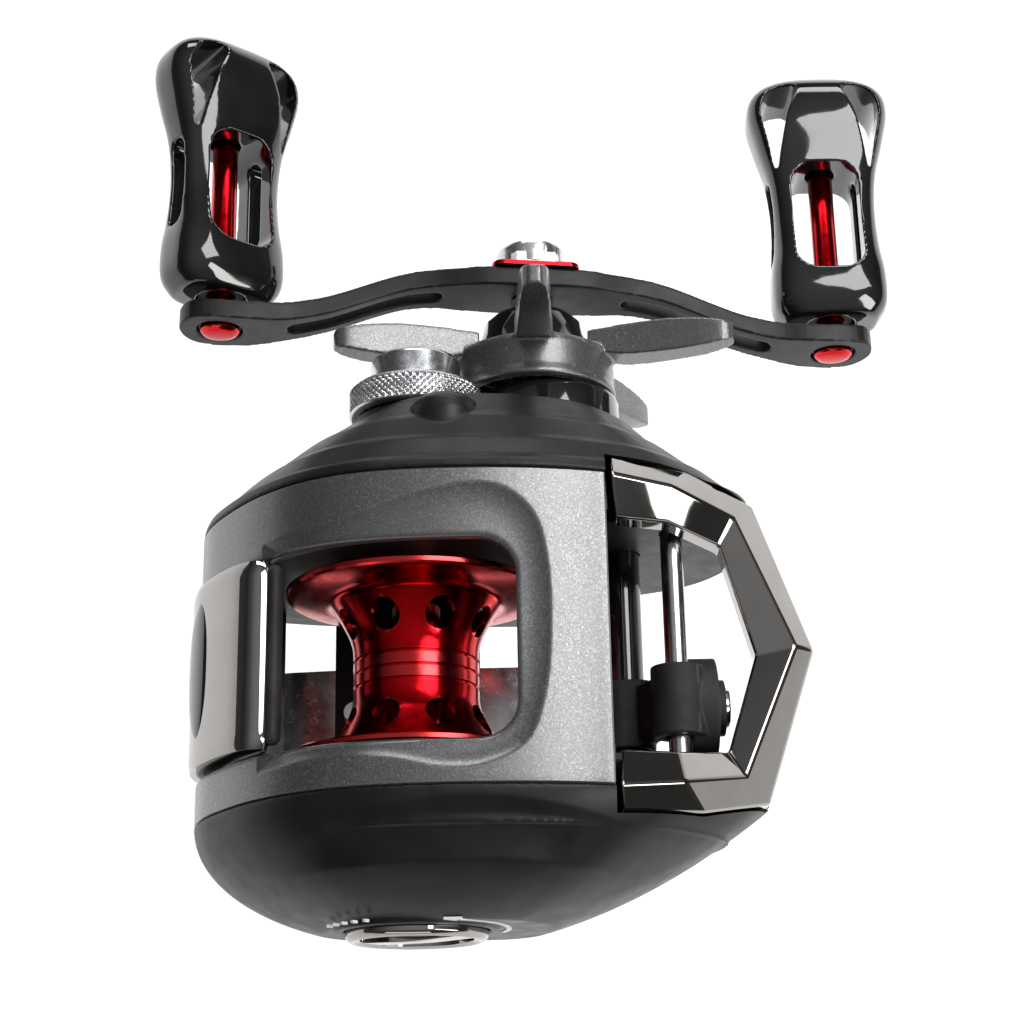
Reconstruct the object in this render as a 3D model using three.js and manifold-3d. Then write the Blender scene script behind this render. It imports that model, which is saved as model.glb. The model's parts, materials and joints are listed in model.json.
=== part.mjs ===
// Low-profile baitcasting reel with the handle on the left (+Y) side.
// Millimetres. +X is forward (the way the line leaves), +Y is towards the handle, +Z is up.
// The outer group's origin is the middle of the reel foot's flat underside. Everything is built
// in an inner group whose origin is the centre of the spool.
import * as THREE from 'three';
import { mergeVertices } from 'three/addons/utils/BufferGeometryUtils.js';
import Module from 'manifold-3d';

const wasm = await Module();
wasm.setup();

// ---------- driving dimensions ----------
const SPOOL_AT = [-4, 0, 24];            // spool centre, seen from the middle of the foot
const GAP = 0.3;                         // clearance between neighbours

const COVER_Y = [-17.2, 20.9];           // edges of the top cover, palm side and gear side
const COVER_FRONT_X = 23.7;
const COVER_REAR_Z = -11;
const COVER_WALL = 2.2;
const WINDOW = { front: 12.7, palm: -11.6, gear: 12.4, corner: 4.5 };

const WALL_GEAR = [13, 15.4];            // frame wall between spool and gears
const WALL_NOSE = [16.8, 18.6];          // the same wall ahead of the spool
const WALL_PALM = [-14.9, -12];
const NOSE_ZONE_X = 22;                  // the line guide's space starts here
const SHELL = 1.6;                       // wall of both side plates

const SPOOL_R = 16.5;
const SPOOL_HALF = 11.2;
const ARBOR_R = 7.9;
const SPOOL_SHAFT_R = 1.5;
const PINION_BORE_R = 1.2;

const DRIVE_TEETH = 76;
const PINION_TEETH = 12;
const CENTRES = 17.3;                    // spool axis to drive shaft axis
const DRIVE = [15.7, -Math.sqrt(CENTRES ** 2 - 15.7 ** 2)];
const GEAR_MODULE = 2 * CENTRES / (DRIVE_TEETH + PINION_TEETH);
const PROFILE_SHIFT = 0.3;
const BACKLASH = 0.1;
const MAIN_GEAR_Y = [21.6, 24.6];
const PINION_Y = [21, 25.2];

const WIND_MODULE = 0.5;
const WIND_TEETH = 24;
const WORM_TEETH = 21;
const WIND_CENTRES = WIND_MODULE * (WIND_TEETH + WORM_TEETH) / 2;
const WORM_X = 26.5;
const WORM = [WORM_X, DRIVE[1] + Math.sqrt(WIND_CENTRES ** 2 - (WORM_X - DRIVE[0]) ** 2)];
const WIND_GEAR_Y = [19, 20.8];
const WORM_TUBE_R = 2.3;

const GUIDE_ROD = [32.3, 4.5];
const GUIDE_ROD_R = 1.4;
const GUIDE_Y = [-9.1, -0.4];            // line guide at rest, near the palm side
const EYELET = { y: -4.75, z: 0.6, r: 6.2, hole: 2.2 };

const HANDLE_TILT = 8.1;                 // degrees about +Y at rest
const KNOB_REACH = 42.5;                 // drive shaft to knob post
const KNOB_TURN = { a: 0, b: 40 };       // degrees about each post at rest
const ARM_Y = [55, 57.6];                // middle of the handle arm
const ARM_DROP = 6.3;                    // its ends lie this much closer to the body
const POST_R = 1.75;

const SPOOL_HOLES = 8;                   // lightening holes in each of the two rows
const STAR_R = 10.9;
const STAR_REACH = 27.8;
const STAR_ARMS = 5;
const STAR_Y = [39.7, 45.8];
const COLLAR = { at: [17.4, DRIVE[1]], r: 9.2, top: 38.9 };

const TENSION = { r: 8.77, y: [34.4, 38.5], capR: 5.9, capTop: 43 };
const DIAL = { r: 8.6, y: [-32.9, -30.2] };

const FOOT = { x: [-24, 32], half: 6.6, top: -21.9, base: -24 };
const FOOT_BRIDGE_X = [-12, 7.6];        // the frame's floor between its two drain openings
const RIVET_X = [-9.4, -2.4];
const POST_Z = [-7.6, 7.6];              // yoke posts above and below the spool axis
const POST_X = -2.4;
const THUMB_Y = [-11.2, 12];
const PLATE_SCREWS = [[-20, -12], [-6, -18.6], [36.4, -9.5]];

// ---------- materials ----------
function finish(color, roughness, metalness) {
  return new THREE.MeshStandardMaterial({ color, roughness, metalness });
}

const FINISH = {
  gunmetal: () => finish(0x6d6e70, 0.38, 0.7),
  satinBlack: () => finish(0x17171a, 0.5, 0.1),
  glossBlack: () => finish(0x09090b, 0.12, 0),
  textureBlack: () => finish(0x141416, 0.65, 0),
  darkChrome: () => finish(0x8d8884, 0.1, 1),
  red: () => finish(0xb5121b, 0.25, 0.9),
  silver: () => finish(0xc4c6c9, 0.28, 1),
  steel: () => finish(0xa8a9ab, 0.25, 1),
  brass: () => finish(0xb8923f, 0.3, 1),
  carbon: () => finish(0x2a2b2c, 0.7, 0),
  nylon: () => finish(0x2b2d30, 0.6, 0),
  magnet: () => finish(0xb9bcc0, 0.3, 1),
};

// ---------- solids ----------
// A closed three.js geometry as a manifold solid, with its faces turned outwards.
function solid(geometry) {
  const bare = geometry.clone();
  bare.deleteAttribute('normal');
  bare.deleteAttribute('uv');
  const merged = mergeVertices(bare, 1e-5);
  const vertProperties = new Float32Array(merged.attributes.position.array);
  const corner = (i) => new THREE.Vector3().fromArray(vertProperties, 3 * i);
  const kept = [];
  let volume = 0;
  for (let i = 0; i < merged.index.count; i += 3) {
    const [a, b, c] = merged.index.array.slice(i, i + 3);
    if (a === b || b === c || c === a) continue;
    kept.push([a, b, c]);
    volume += corner(a).dot(corner(b).cross(corner(c)));
  }
  const triVerts = new Uint32Array(kept.flatMap((t) => (volume < 0 ? [t[0], t[2], t[1]] : t)));
  return new wasm.Manifold(new wasm.Mesh({ numProp: 3, vertProperties, triVerts }));
}

function join(first, ...others) {
  return others.reduce((whole, piece) => whole.add(piece), first);
}

function cut(whole, ...tools) {
  return tools.reduce((rest, tool) => rest.subtract(tool), whole);
}

function geometryOf(shape) {
  const { numProp, vertProperties, triVerts } = shape.getMesh();
  const geometry = new THREE.BufferGeometry();
  const positions = new Float32Array(vertProperties.length / numProp * 3);
  for (let i = 0; i < positions.length / 3; i += 1) {
    positions.set(vertProperties.subarray(numProp * i, numProp * i + 3), 3 * i);
  }
  geometry.setAttribute('position', new THREE.BufferAttribute(positions, 3));
  geometry.setIndex(new THREE.BufferAttribute(new Uint32Array(triVerts), 1));
  geometry.computeVertexNormals();
  return geometry;
}

function shapeOf(points) {
  return new THREE.Shape(points.map(([a, b]) => new THREE.Vector2(a, b)));
}

function extruded(points, length) {
  return new THREE.ExtrudeGeometry(shapeOf(points), { depth: length, bevelEnabled: false });
}

// An outline of (x, z) points, thick from y0 to y1.
function prismY(points, [y0, y1]) {
  return solid(extruded(points, y1 - y0).rotateX(Math.PI / 2).translate(0, y1, 0));
}

// An outline of (x, y) points, thick from z0 to z1.
function prismZ(points, [z0, z1]) {
  return solid(extruded(points, z1 - z0).translate(0, 0, z0));
}

function box([x0, x1], [y0, y1], [z0, z1]) {
  const geometry = new THREE.BoxGeometry(x1 - x0, y1 - y0, z1 - z0);
  return solid(geometry.translate((x0 + x1) / 2, (y0 + y1) / 2, (z0 + z1) / 2));
}

// A round bar along Y at (x, z).
function drum(r, [y0, y1], [x, z] = [0, 0], segments = 16) {
  const geometry = new THREE.CylinderGeometry(r, r, y1 - y0, segments);
  return solid(geometry.translate(x, (y0 + y1) / 2, z));
}

// A round bar along Z at (x, y).
function drumZ(r, [z0, z1], [x, y], segments = 12) {
  const geometry = new THREE.CylinderGeometry(r, r, z1 - z0, segments).rotateX(Math.PI / 2);
  return solid(geometry.translate(x, y, (z0 + z1) / 2));
}

// A round bar along X at (y, z).
function drumX(r, [x0, x1], [y, z], segments = 16) {
  const geometry = new THREE.CylinderGeometry(r, r, x1 - x0, segments).rotateZ(Math.PI / 2);
  return solid(geometry.translate((x0 + x1) / 2, y, z));
}

// A profile of (radius, y) points turned about a Y axis at (x, z).
function turned(profile, [x, z] = [0, 0], segments = 24) {
  const points = profile.map(([r, y]) => new THREE.Vector2(r, y));
  return solid(new THREE.LatheGeometry(points, segments).translate(x, 0, z));
}

// A washer, bush or bearing ring about a Y axis.
function ring(inner, outer, [y0, y1], at = [0, 0], segments = 18) {
  return turned([[inner, y0], [outer, y0], [outer, y1], [inner, y1], [inner, y0]], at, segments);
}

// A skin through equal rings of (x, y, z) points, closed by a fan at each end.
function loft(rings) {
  const count = rings[0].length;
  const index = [];
  for (let i = 0; i + 1 < rings.length; i += 1) {
    for (let j = 0; j < count; j += 1) {
      const a = i * count + j;
      const b = i * count + (j + 1) % count;
      index.push(a, b, b + count, a, b + count, a + count);
    }
  }
  const last = (rings.length - 1) * count;
  for (let j = 1; j + 1 < count; j += 1) {
    index.push(0, j + 1, j);
    index.push(last, last + j, last + j + 1);
  }
  const geometry = new THREE.BufferGeometry();
  geometry.setAttribute('position', new THREE.Float32BufferAttribute(rings.flat(2), 3));
  geometry.setIndex(index);
  return solid(geometry);
}

// ---------- outlines ----------
function smoothLoop(points, count) {
  const corners = points.map(([a, b]) => new THREE.Vector3(a, b, 0));
  const curve = new THREE.CatmullRomCurve3(corners, true, 'centripetal');
  return curve.getSpacedPoints(count).slice(0, count).map((p) => [p.x, p.y]);
}

// The outline moved inwards by a distance, for a loop that runs clockwise or anticlockwise.
function inset(points, distance) {
  const area = points.reduce((sum, [x, y], i) => {
    const [nx, ny] = points[(i + 1) % points.length];
    return sum + x * ny - nx * y;
  }, 0);
  const side = Math.sign(area);
  return points.map(([x, y], i) => {
    const [px, py] = points[(i + points.length - 1) % points.length];
    const [nx, ny] = points[(i + 1) % points.length];
    const before = new THREE.Vector2(x - px, y - py).normalize();
    const after = new THREE.Vector2(nx - x, ny - y).normalize();
    const normal = new THREE.Vector2(-before.y - after.y, before.x + after.x).normalize();
    const stretch = distance * side / Math.max(0.5, normal.dot(new THREE.Vector2(-before.y, before.x)));
    return [x + normal.x * stretch, y + normal.y * stretch];
  });
}

// Side view of the body, (x, z) from the spool centre: over the top from the rear, then under.
const BODY = smoothLoop([
  [-28.4, -9], [-27.2, -2.5], [-23.4, 4.7], [-18.6, 11.1], [-13, 15.9], [-6.9, 18.7], [-0.8, 19.9],
  [8, 20.2], [17, 19.3], [23.7, 17.6], [31, 14.6], [37, 9.6], [42, 3.5], [43.4, -2], [41.5, -10],
  [37, -18], [29.5, -22.8], [20, -24.4], [10, -24.2], [-2, -23.4], [-14, -21.8], [-23.5, -17.5],
], 28);

function roundedRect([x0, x1], [y0, y1], r, steps = 2) {
  const centres = [[x1 - r, y1 - r, 0], [x0 + r, y1 - r, 90], [x0 + r, y0 + r, 180], [x1 - r, y0 + r, 270]];
  return centres.flatMap(([cx, cy, from]) => Array.from({ length: steps + 1 }, (_, i) => {
    const angle = THREE.MathUtils.degToRad(from + 90 * i / steps);
    return [cx + r * Math.cos(angle), cy + r * Math.sin(angle)];
  }));
}

function polar(r, angle, [x, z] = [0, 0]) {
  return [x + r * Math.cos(angle), z + r * Math.sin(angle)];
}

// Involute spur gear outline about (x, z), with one tooth pointing along the phase angle.
function gearOutline({ teeth, module, shift = 0, phase = 0, at, flankPoints = 2 }) {
  const pressure = THREE.MathUtils.degToRad(20);
  const pitchR = module * teeth / 2;
  const baseR = pitchR * Math.cos(pressure);
  const rootR = pitchR - module * (1.25 - shift);
  const tipR = pitchR + module * (1 + shift);
  const involute = (angle) => Math.tan(angle) - angle;
  const thickness = module * (Math.PI / 2 + 2 * shift * Math.tan(pressure)) - BACKLASH;
  const halfAngle = (r) => {
    const local = Math.acos(Math.min(1, baseR / r));
    return thickness / (2 * pitchR) + involute(pressure) - involute(local);
  };
  const flank = [];
  if (rootR < baseR) flank.push(rootR);
  const start = Math.max(rootR, baseR);
  for (let i = 0; i < flankPoints; i += 1) {
    flank.push(start + (tipR - start) * i / (flankPoints - 1));
  }
  const points = [];
  for (let tooth = 0; tooth < teeth; tooth += 1) {
    const centre = phase + 2 * Math.PI * tooth / teeth;
    flank.forEach((r) => points.push(polar(r, centre - halfAngle(r), at)));
    [...flank].reverse().forEach((r) => points.push(polar(r, centre + halfAngle(r), at)));
  }
  return points;
}

// ---------- scene graph ----------
const part = new THREE.Group();
const reel = new THREE.Group();
reel.position.set(...SPOOL_AT);
part.add(reel);

function place(name, shape, material, parent = reel) {
  const mesh = new THREE.Mesh(geometryOf(shape), material);
  mesh.name = name;
  parent.add(mesh);
  return mesh;
}

// ---------- frame and covers ----------
// The faceted hood over the line guide is a ring of five-sided sections: ridge, inner edge and
// its foot, outer foot and outer edge. A grown copy, open above, cuts its seat in its neighbours.
const HOOD_STATIONS = [
  { ridge: [24.3, 20.6, 17.6], inner: [24.9, 16, 14.4], outer: [24.5, 23.4, 15.6] },
  { ridge: [32, 20, 14.2], inner: [31.4, 16, 11.9], outer: [34.2, 23, 10.4] },
  { ridge: [40, 18.2, 7], inner: [38.1, 14.7, 6], outer: [43, 20.9, 3] },
  { ridge: [47.3, 2.4, 3.2], inner: [42.4, 1.7, 2], outer: [49.9, 2.3, 1] },
  { ridge: [39.8, -14.6, 7], inner: [38, -11.3, 6], outer: [43, -17.3, 3] },
  { ridge: [31.8, -16.3, 14.2], inner: [31.4, -12.3, 11.9], outer: [34.2, -19.4, 10.4] },
  { ridge: [24.2, -17.1, 17.6], inner: [24.7, -12.4, 14.4], outer: [24.5, -20, 15.6] },
];
const HOOD_DEPTH = 3.7;
const HOOD_FACE_X = 24;
const HOOD_HEADROOM = 6;                 // the seat is open above the hood

function hood(grow, headroom = 0) {
  const middle = [36, 1.75];
  const away = ([x, y, z], distance) => {
    const out = new THREE.Vector2(x - middle[0], y - middle[1]).normalize();
    return [x + out.x * distance, y + out.y * distance, z];
  };
  const stations = HOOD_STATIONS.map(({ ridge, inner, outer }, i, { length }) => {
    const back = i === 0 || i === length - 1 ? [-3 * grow, 0, 0] : [0, 0, 0];
    const moved = (point) => point.map((value, axis) => value + back[axis]);
    const [rx, ry, rz] = moved(ridge);
    const innerEdge = moved(away(inner, -grow));
    const outerEdge = moved(away(outer, grow));
    return [
      [rx, ry, rz + headroom],
      [innerEdge[0], innerEdge[1], innerEdge[2] + headroom],
      [innerEdge[0], innerEdge[1], innerEdge[2] - HOOD_DEPTH - grow],
      [outerEdge[0], outerEdge[1], outerEdge[2] - HOOD_DEPTH - grow],
      [outerEdge[0], outerEdge[1], outerEdge[2] + headroom],
    ];
  });
  const behind = box([HOOD_FACE_X - 10, HOOD_FACE_X - grow], [-40, 40], [-30, 30]);
  return cut(loft(stations), behind);
}

// What the top cover takes up, grown for the seats that its neighbours leave for it.
function coverBand(grow) {
  const innerLine = inset(BODY, COVER_WALL + grow);
  const band = cut(
    prismY(inset(BODY, -grow), [COVER_Y[0] - grow, COVER_Y[1] + grow]),
    prismY(innerLine, [COVER_Y[0] - 5, COVER_Y[1] + 5]),
  );
  return cut(
    band,
    box([COVER_FRONT_X + grow, 60], [-40, 40], [-40, 40]),
    box([-40, 60], [-40, 40], [-40, COVER_REAR_Z - grow]),
  );
}

function topCover() {
  const windowSpan = roundedRect([-60, WINDOW.front], [WINDOW.palm, WINDOW.gear], WINDOW.corner);
  return cut(coverBand(0), prismZ(windowSpan, [-30, 30]));
}

// The one-piece chassis: two walls with their rims, a floor bridge over the foot and cross bars.
function chassis() {
  const rimGear = [WALL_GEAR[0], COVER_Y[1] - GAP];
  const rimPalm = [COVER_Y[0] + GAP, WALL_PALM[1]];
  const inner = inset(BODY, COVER_WALL + 2 * GAP + 1.3);
  const noseCut = (span) => box([NOSE_ZONE_X, 60], span, [-40, 40]);
  const gearWall = cut(
    prismY(BODY, rimGear),
    cut(prismY(inner, [WALL_GEAR[1], 30]), noseCut([WALL_GEAR[1] - 1, WALL_NOSE[1]])),
    noseCut([WALL_GEAR[0] - 1, WALL_NOSE[0]]),
  );
  const palmWall = cut(
    prismY(BODY, rimPalm),
    prismY(inner, [-30, WALL_PALM[0]]),
    drum(SPOOL_R + 0.6, [-30, 0], [0, 0], 28),
  );
  const floorZ = [FOOT.top + GAP, FOOT.top + GAP + 2.6];
  const span = [WALL_PALM[1] - 1, WALL_GEAR[0] + 1];
  const rearBar = prismY([[-25.4, -15.6], [-19.4, -19.6], [-18.4, -15.4], [-23.4, -14]], span);
  const lowFrontBar = prismY([[19.5, -21.5], [25.5, -21.5], [25.5, -19.4], [19.5, -19.4]], [span[0], 17.5]);
  const topFrontBar = prismY([[19.6, 13], [23.4, 11.8], [23.4, 14.2], [19.6, 15.4]], [span[0], 17.5]);
  const pinionBoss = drum(7.2, [WALL_GEAR[1] - 0.5, 17.5]);
  const driveBoss = drum(7, [WALL_GEAR[1] - 0.5, 18.2], DRIVE);
  const screwPosts = PLATE_SCREWS.map((at) => drum(2.4, [WALL_GEAR[0] + 0.4, rimGear[1]], at, 12));
  const nosePart = box([NOSE_ZONE_X, 60], [0, WALL_NOSE[0]], [-40, 40]);
  const tall = join(
    gearWall, palmWall, rearBar, lowFrontBar, topFrontBar, pinionBoss, driveBoss,
    ...screwPosts.map((post) => post.subtract(nosePart)),
    box(FOOT_BRIDGE_X, span, floorZ),
  );
  const aboveHoodLine = prismY(
    [[HOOD_FACE_X - 0.1, 10.2], [31.5, 7.4], [38, 1.8], [50, -3], [50, 40], [HOOD_FACE_X - 0.1, 40]],
    [-40, 40],
  );
  const bearingSeats = [
    drum(5.65, [13.5, 30]),
    drum(4, [10, 14]),
    drum(5.15, [14.4, 30], DRIVE),
    drum(WORM_TUBE_R + 0.15, [15, 17.4], WORM, 16),
    drum(1.75, [15, 30], WORM, 16),
    drum(WORM_TUBE_R + 0.15, [-13, -10], WORM, 16),
    drum(1.75, [-14.1, -10], WORM, 16),
    drum(GUIDE_ROD_R + 0.15, [15, 17.8], GUIDE_ROD, 16),
    drum(GUIDE_ROD_R + 0.15, [-13.6, -10], GUIDE_ROD, 16),
    ...POST_Z.map((z) => drum(1.15, [14.2, 30], [POST_X, z], 12)),
    ...PLATE_SCREWS.map((at) => drum(1.3, [17.2, 30], at, 12)),
    ...RIVET_X.map((x) => drumZ(1.65, [-40, -10], [x, 0])),
  ];
  const clutchSlot = box([-22.2, -18.6], [12, 16.6], [-8.4, 1]);
  return cut(tall, coverBand(GAP), aboveHoodLine, hood(GAP, HOOD_HEADROOM), ...bearingSeats, clutchSlot);
}

// Sections of a side plate: the body's side view drawn in towards a centre as y moves out.
function plateSections(levels, outline, [cx, cz]) {
  return levels.map(({ y, rear, front, height }) => outline.map(([x, z]) => [
    cx + (x - cx) * (x < cx ? rear : front),
    y,
    cz + (z - cz) * height,
  ]));
}

const GEAR_LEVELS = [
  { y: 20.9, rear: 1, front: 1, height: 1 },
  { y: 22.6, rear: 0.985, front: 0.97, height: 0.97 },
  { y: 26.6, rear: 0.84, front: 0.82, height: 0.88 },
  { y: 30.6, rear: 0.66, front: 0.66, height: 0.76 },
  { y: 33.9, rear: 0.49, front: 0.56, height: 0.64 },
];
const GEAR_CENTRE = [8, -5];
const SMALL_BOSS = { at: [4.2, 11.5], r: 4.4, top: 33 };

function gearSidePlate() {
  const innerLevels = GEAR_LEVELS.map((level, i, all) => ({
    ...level,
    y: i === 0 ? level.y - 1 : i === all.length - 1 ? level.y - SHELL : level.y - SHELL * 0.6,
  }));
  const outer = join(
    loft(plateSections(GEAR_LEVELS, BODY, GEAR_CENTRE)),
    turned([[0, 20.9], [17.2, 20.9], [17.2, 26.4], [15, 29.6], [11, 34.4], [0, 34.4]], DRIVE),
    drum(COLLAR.r, [30, COLLAR.top], COLLAR.at, 28),
    drum(8, [30, TENSION.y[0] - GAP]),
    drum(SMALL_BOSS.r, [24, SMALL_BOSS.top], SMALL_BOSS.at, 16),
    drum(5.2, [30, 37.6]),
  );
  const inner = join(
    loft(plateSections(innerLevels, inset(BODY, SHELL), GEAR_CENTRE)),
    turned([[0, 19], [15.6, 19], [15.6, 25.8], [13.2, 29], [10.6, 32.4], [0, 32.4]], DRIVE),
  );
  return cut(
    outer, inner, hood(GAP, HOOD_HEADROOM),
    drum(6.9, [30, 37.4], DRIVE),
    drum(5.6, [30, 45], DRIVE),
    drum(3, [30, 45], [0, 0], 16),
    ...PLATE_SCREWS.map(([x, z]) => drum(1.4, [20, 30], [x, z], 12)),
    ...PLATE_SCREWS.map(([x, z]) => drum(2.5, [23.4, 40], [x, z], 12)),
  );
}

function plateScrew([x, z]) {
  const head = turned([[0, 17.6], [1.1, 17.6], [1.1, 23.6], [2.2, 23.6], [2.2, 24.6], [1.5, 25.1], [0, 25.1]],
    [x, z], 16);
  return cut(head, box([x - 1.8, x + 1.8], [24.5, 26], [z - 0.3, z + 0.3]));
}

// The palm side bulges like half an egg: round behind its centre, longer and flatter in front.
const PALM_DEPTH = 15.7;
const PALM_CENTRE = [2.5, -2];

function palmLevel(depth) {
  const share = depth / PALM_DEPTH;
  return {
    y: COVER_Y[0] - depth,
    rear: Math.sqrt(1 - share ** 2),
    front: Math.sqrt(1 - share),
    height: Math.sqrt(1 - share ** 2) ** 0.85,
  };
}

function palmSidePlate() {
  const outer = [0, 4, 8, 11.4, 13.8].map(palmLevel);
  const inner = [0, 4, 8, 11.4].map(palmLevel).map((level, i) => ({
    ...level,
    y: i === 0 ? level.y + 1 : level.y + SHELL * 0.5,
  }));
  const bulkheadOutline = plateSections([palmLevel(3.4)], inset(BODY, 0.6), PALM_CENTRE)[0];
  const bulkhead = prismY(bulkheadOutline.map(([x, , z]) => [x, z]), [-21.4, -20]);
  const shell = cut(
    join(
      loft(plateSections(outer, BODY, PALM_CENTRE)),
      drum(DIAL.r + 1.5, [-31.4, -24], [0, 0], 32),
    ),
    loft(plateSections(inner, inset(BODY, SHELL), PALM_CENTRE)),
  );
  const whole = join(
    shell,
    bulkhead,
    drum(6.6, [-24.6, -20.4]),
  );
  return cut(
    whole, hood(GAP, HOOD_HEADROOM),
    drum(DIAL.r + 0.25, [-40, DIAL.y[1] - GAP + 0.3], [0, 0], 32),
    drum(2.4, [-40, -29], [0, 0], 16),
    drum(5.15, [-24, -10]),
    drum(2.2, [-30, -10], [0, 0], 16),
    ...CARRIER_LEGS.map((at) => drum(1.35, [-24, -10], at, 12)),
  );
}

const CARRIER_LEGS = [90, 210, 330].map((angle) => polar(9.4, THREE.MathUtils.degToRad(angle)));

function reelFoot() {
  const [rear, front] = FOOT.x;
  const middle = (rear + front) / 2;
  const side = prismY([
    [rear, FOOT.base], [front, FOOT.base], [front, FOOT.base + 0.7], [middle + 17, FOOT.top],
    [middle - 17, FOOT.top], [rear, FOOT.base + 0.7],
  ], [-FOOT.half, FOOT.half]);
  const plan = prismZ(roundedRect(FOOT.x, [-FOOT.half, FOOT.half], 5.4, 5), [-26, -20]);
  const holes = RIVET_X.flatMap((x) => [drumZ(1.65, [-30, -20], [x, 0]), drumZ(2.6, [-30, -23.1], [x, 0])]);
  return cut(side.intersect(plan), ...holes);
}

function footRivet(x) {
  return join(drumZ(1.4, [-23.4, -18.4], [x, 0]), drumZ(2.35, [-23.9, -23.3], [x, 0]));
}

place('frame', chassis(), FINISH.satinBlack());
place('top_cover', topCover(), FINISH.gunmetal());
place('nose_guard', hood(0), FINISH.darkChrome());
place('gear_side_plate', gearSidePlate(), FINISH.satinBlack());
place('palm_side_plate', palmSidePlate(), FINISH.satinBlack());
place('reel_foot', reelFoot(), FINISH.silver());
RIVET_X.forEach((x, i) => place(`foot_rivet_${i + 1}`, footRivet(x), FINISH.steel()));
PLATE_SCREWS.forEach((at, i) => place(`gear_plate_screw_${i + 1}`, plateScrew(at), FINISH.steel()));

// ---------- spool ----------
function spoolBody() {
  const half = [
    [3, 9], [3, 1.3], [6.7, 1.3], [6.7, 3.4], [9.4, 8.9], [9.4, 10], [15, SPOOL_HALF],
    [SPOOL_R, SPOOL_HALF], [SPOOL_R, 10.2], [10.6, 9], [ARBOR_R, 3.4],
  ];
  const mirror = half.map(([r, y]) => [r, -y]).reverse();
  const bore = SPOOL_SHAFT_R + 0.15;
  const profile = [[bore, -9], [bore, 9], ...half, ...mirror, [bore, -9]];
  const drill = (angle, y) => {
    const [x, z] = polar(12, THREE.MathUtils.degToRad(angle));
    const hole = new THREE.CylinderGeometry(1.9, 1.9, 12, 8).rotateZ(Math.PI / 2);
    hole.rotateY(-THREE.MathUtils.degToRad(angle)).translate(x, y, z);
    return solid(hole);
  };
  const angles = Array.from({ length: SPOOL_HOLES }, (_, i) => (i + 0.5) * 360 / SPOOL_HOLES);
  const holes = angles.flatMap((angle) => [drill(angle, 6.2), drill(angle, -6.2)]);
  return cut(turned(profile), ...holes);
}

function spoolShaft() {
  const shaft = turned([
    [0, -23.6], [SPOOL_SHAFT_R, -23.6], [SPOOL_SHAFT_R, 15.3], [PINION_BORE_R - 0.2, 15.3],
    [PINION_BORE_R - 0.2, 35.4], [0, 35.9],
  ], [0, 0], 16);
  return join(shaft, box([-2.4, 2.4], [16, 16.9], [-0.5, 0.5]));
}

const spool = new THREE.Group();
reel.add(spool);
place('spool', spoolBody(), FINISH.red(), spool);
place('spool_shaft', spoolShaft(), FINISH.steel(), spool);
place('brake_inductor', ring(10.4, 11.8, [-14.4, -10.4 - 0.9]), FINISH.silver(), spool);

place('spool_bearing_palm', ring(SPOOL_SHAFT_R + 0.15, 5, [-23.8, -21], [0, 0]), FINISH.steel());
place('spool_bearing_gear', ring(3.35, 5.5, [13.7, 17.3], [0, 0]), FINISH.steel());

// ---------- pinion, yoke and clutch ----------
function pinionGear() {
  const toward = Math.atan2(DRIVE[1], DRIVE[0]);
  const teeth = gearOutline({
    teeth: PINION_TEETH, module: GEAR_MODULE, shift: PROFILE_SHIFT, phase: toward, at: [0, 0], flankPoints: 3,
  });
  const neck = turned([
    [0, 15.7], [3.1, 15.7], [3.1, 19.7], [1.95, 20.1], [1.95, 28.2], [3.3, 28.2], [3.3, 29.2], [0, 29.2],
  ], [0, 0], 16);
  return cut(
    join(neck, prismY(teeth, PINION_Y)),
    drum(PINION_BORE_R, [10, 40], [0, 0], 12),
    box([-4, 4], [15, 17.4], [-0.8, 0.8]),
  );
}

function pinionYoke() {
  const plate = prismY(roundedRect([-9.4, 3], [-10, 10], 1.6), [26.2, 27.6]);
  return cut(
    plate,
    box([0, 10], [20, 30], [-2.3, 2.3]),
    drum(2.3, [20, 30], [0, 0], 16),
    box([1.2, 10], [20, 30], [-12, -2]),
    box([-10, -7.4], [20, 30], [-6.5, 1.3]),
    box([-10, -5.4], [20, 30], [4.6, 12]),
    ...POST_Z.map((z) => drum(1.35, [20, 30], [POST_X, z], 12)),
  );
}

// The sheet cam under the yoke: two ramps that lift the yoke as the thumb bar goes down.
const RAMP_SLOPE = 1.4 / 3.5;

function clutchCam() {
  const plate = prismY([[-21, -2.6], [-21, 0.2], [-15, 7.4], [-7.8, 9], [-7.8, -9], [-13, -9]], [16.7, 17.9]);
  const ramp = (tabTop) => {
    const low = tabTop - 5;
    const high = tabTop + 3.6;
    const outline = [
      [17.4, low], [25.7 + RAMP_SLOPE * (low - tabTop), low], [25.7 + RAMP_SLOPE * (high - tabTop), high],
      [17.4, high],
    ];
    const geometry = extruded(outline.map(([y, z]) => [y, z]), 1.2);
    // (y, z, x) of the outline becomes (x, y, z) of the reel
    geometry.applyMatrix4(new THREE.Matrix4().set(0, 0, 1, -9, 1, 0, 0, 0, 0, 1, 0, 0, 0, 0, 0, 1));
    return solid(geometry);
  };
  return join(plate, ramp(-6.5), ramp(4.6));
}

function thumbBar() {
  const section = smoothLoop([
    [-28.2, -9.6], [-28.9, -4], [-27.6, 1.2], [-24.6, 6.8], [-21, 11.4], [-18.6, 12.9], [-16.9, 12.3],
    [-17.2, 10.2], [-20.4, 6], [-23.8, 0.6], [-25.2, -4], [-25.6, -9.6],
  ], 26);
  const tenon = box([-21.4, -19.4], [THUMB_Y[1] - 1, 16.4], [-4, 0]);
  const heel = box([-25.6, -19.4], [9, THUMB_Y[1]], [-4, 0]);
  return join(prismY(section, THUMB_Y), tenon, heel);
}

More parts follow.
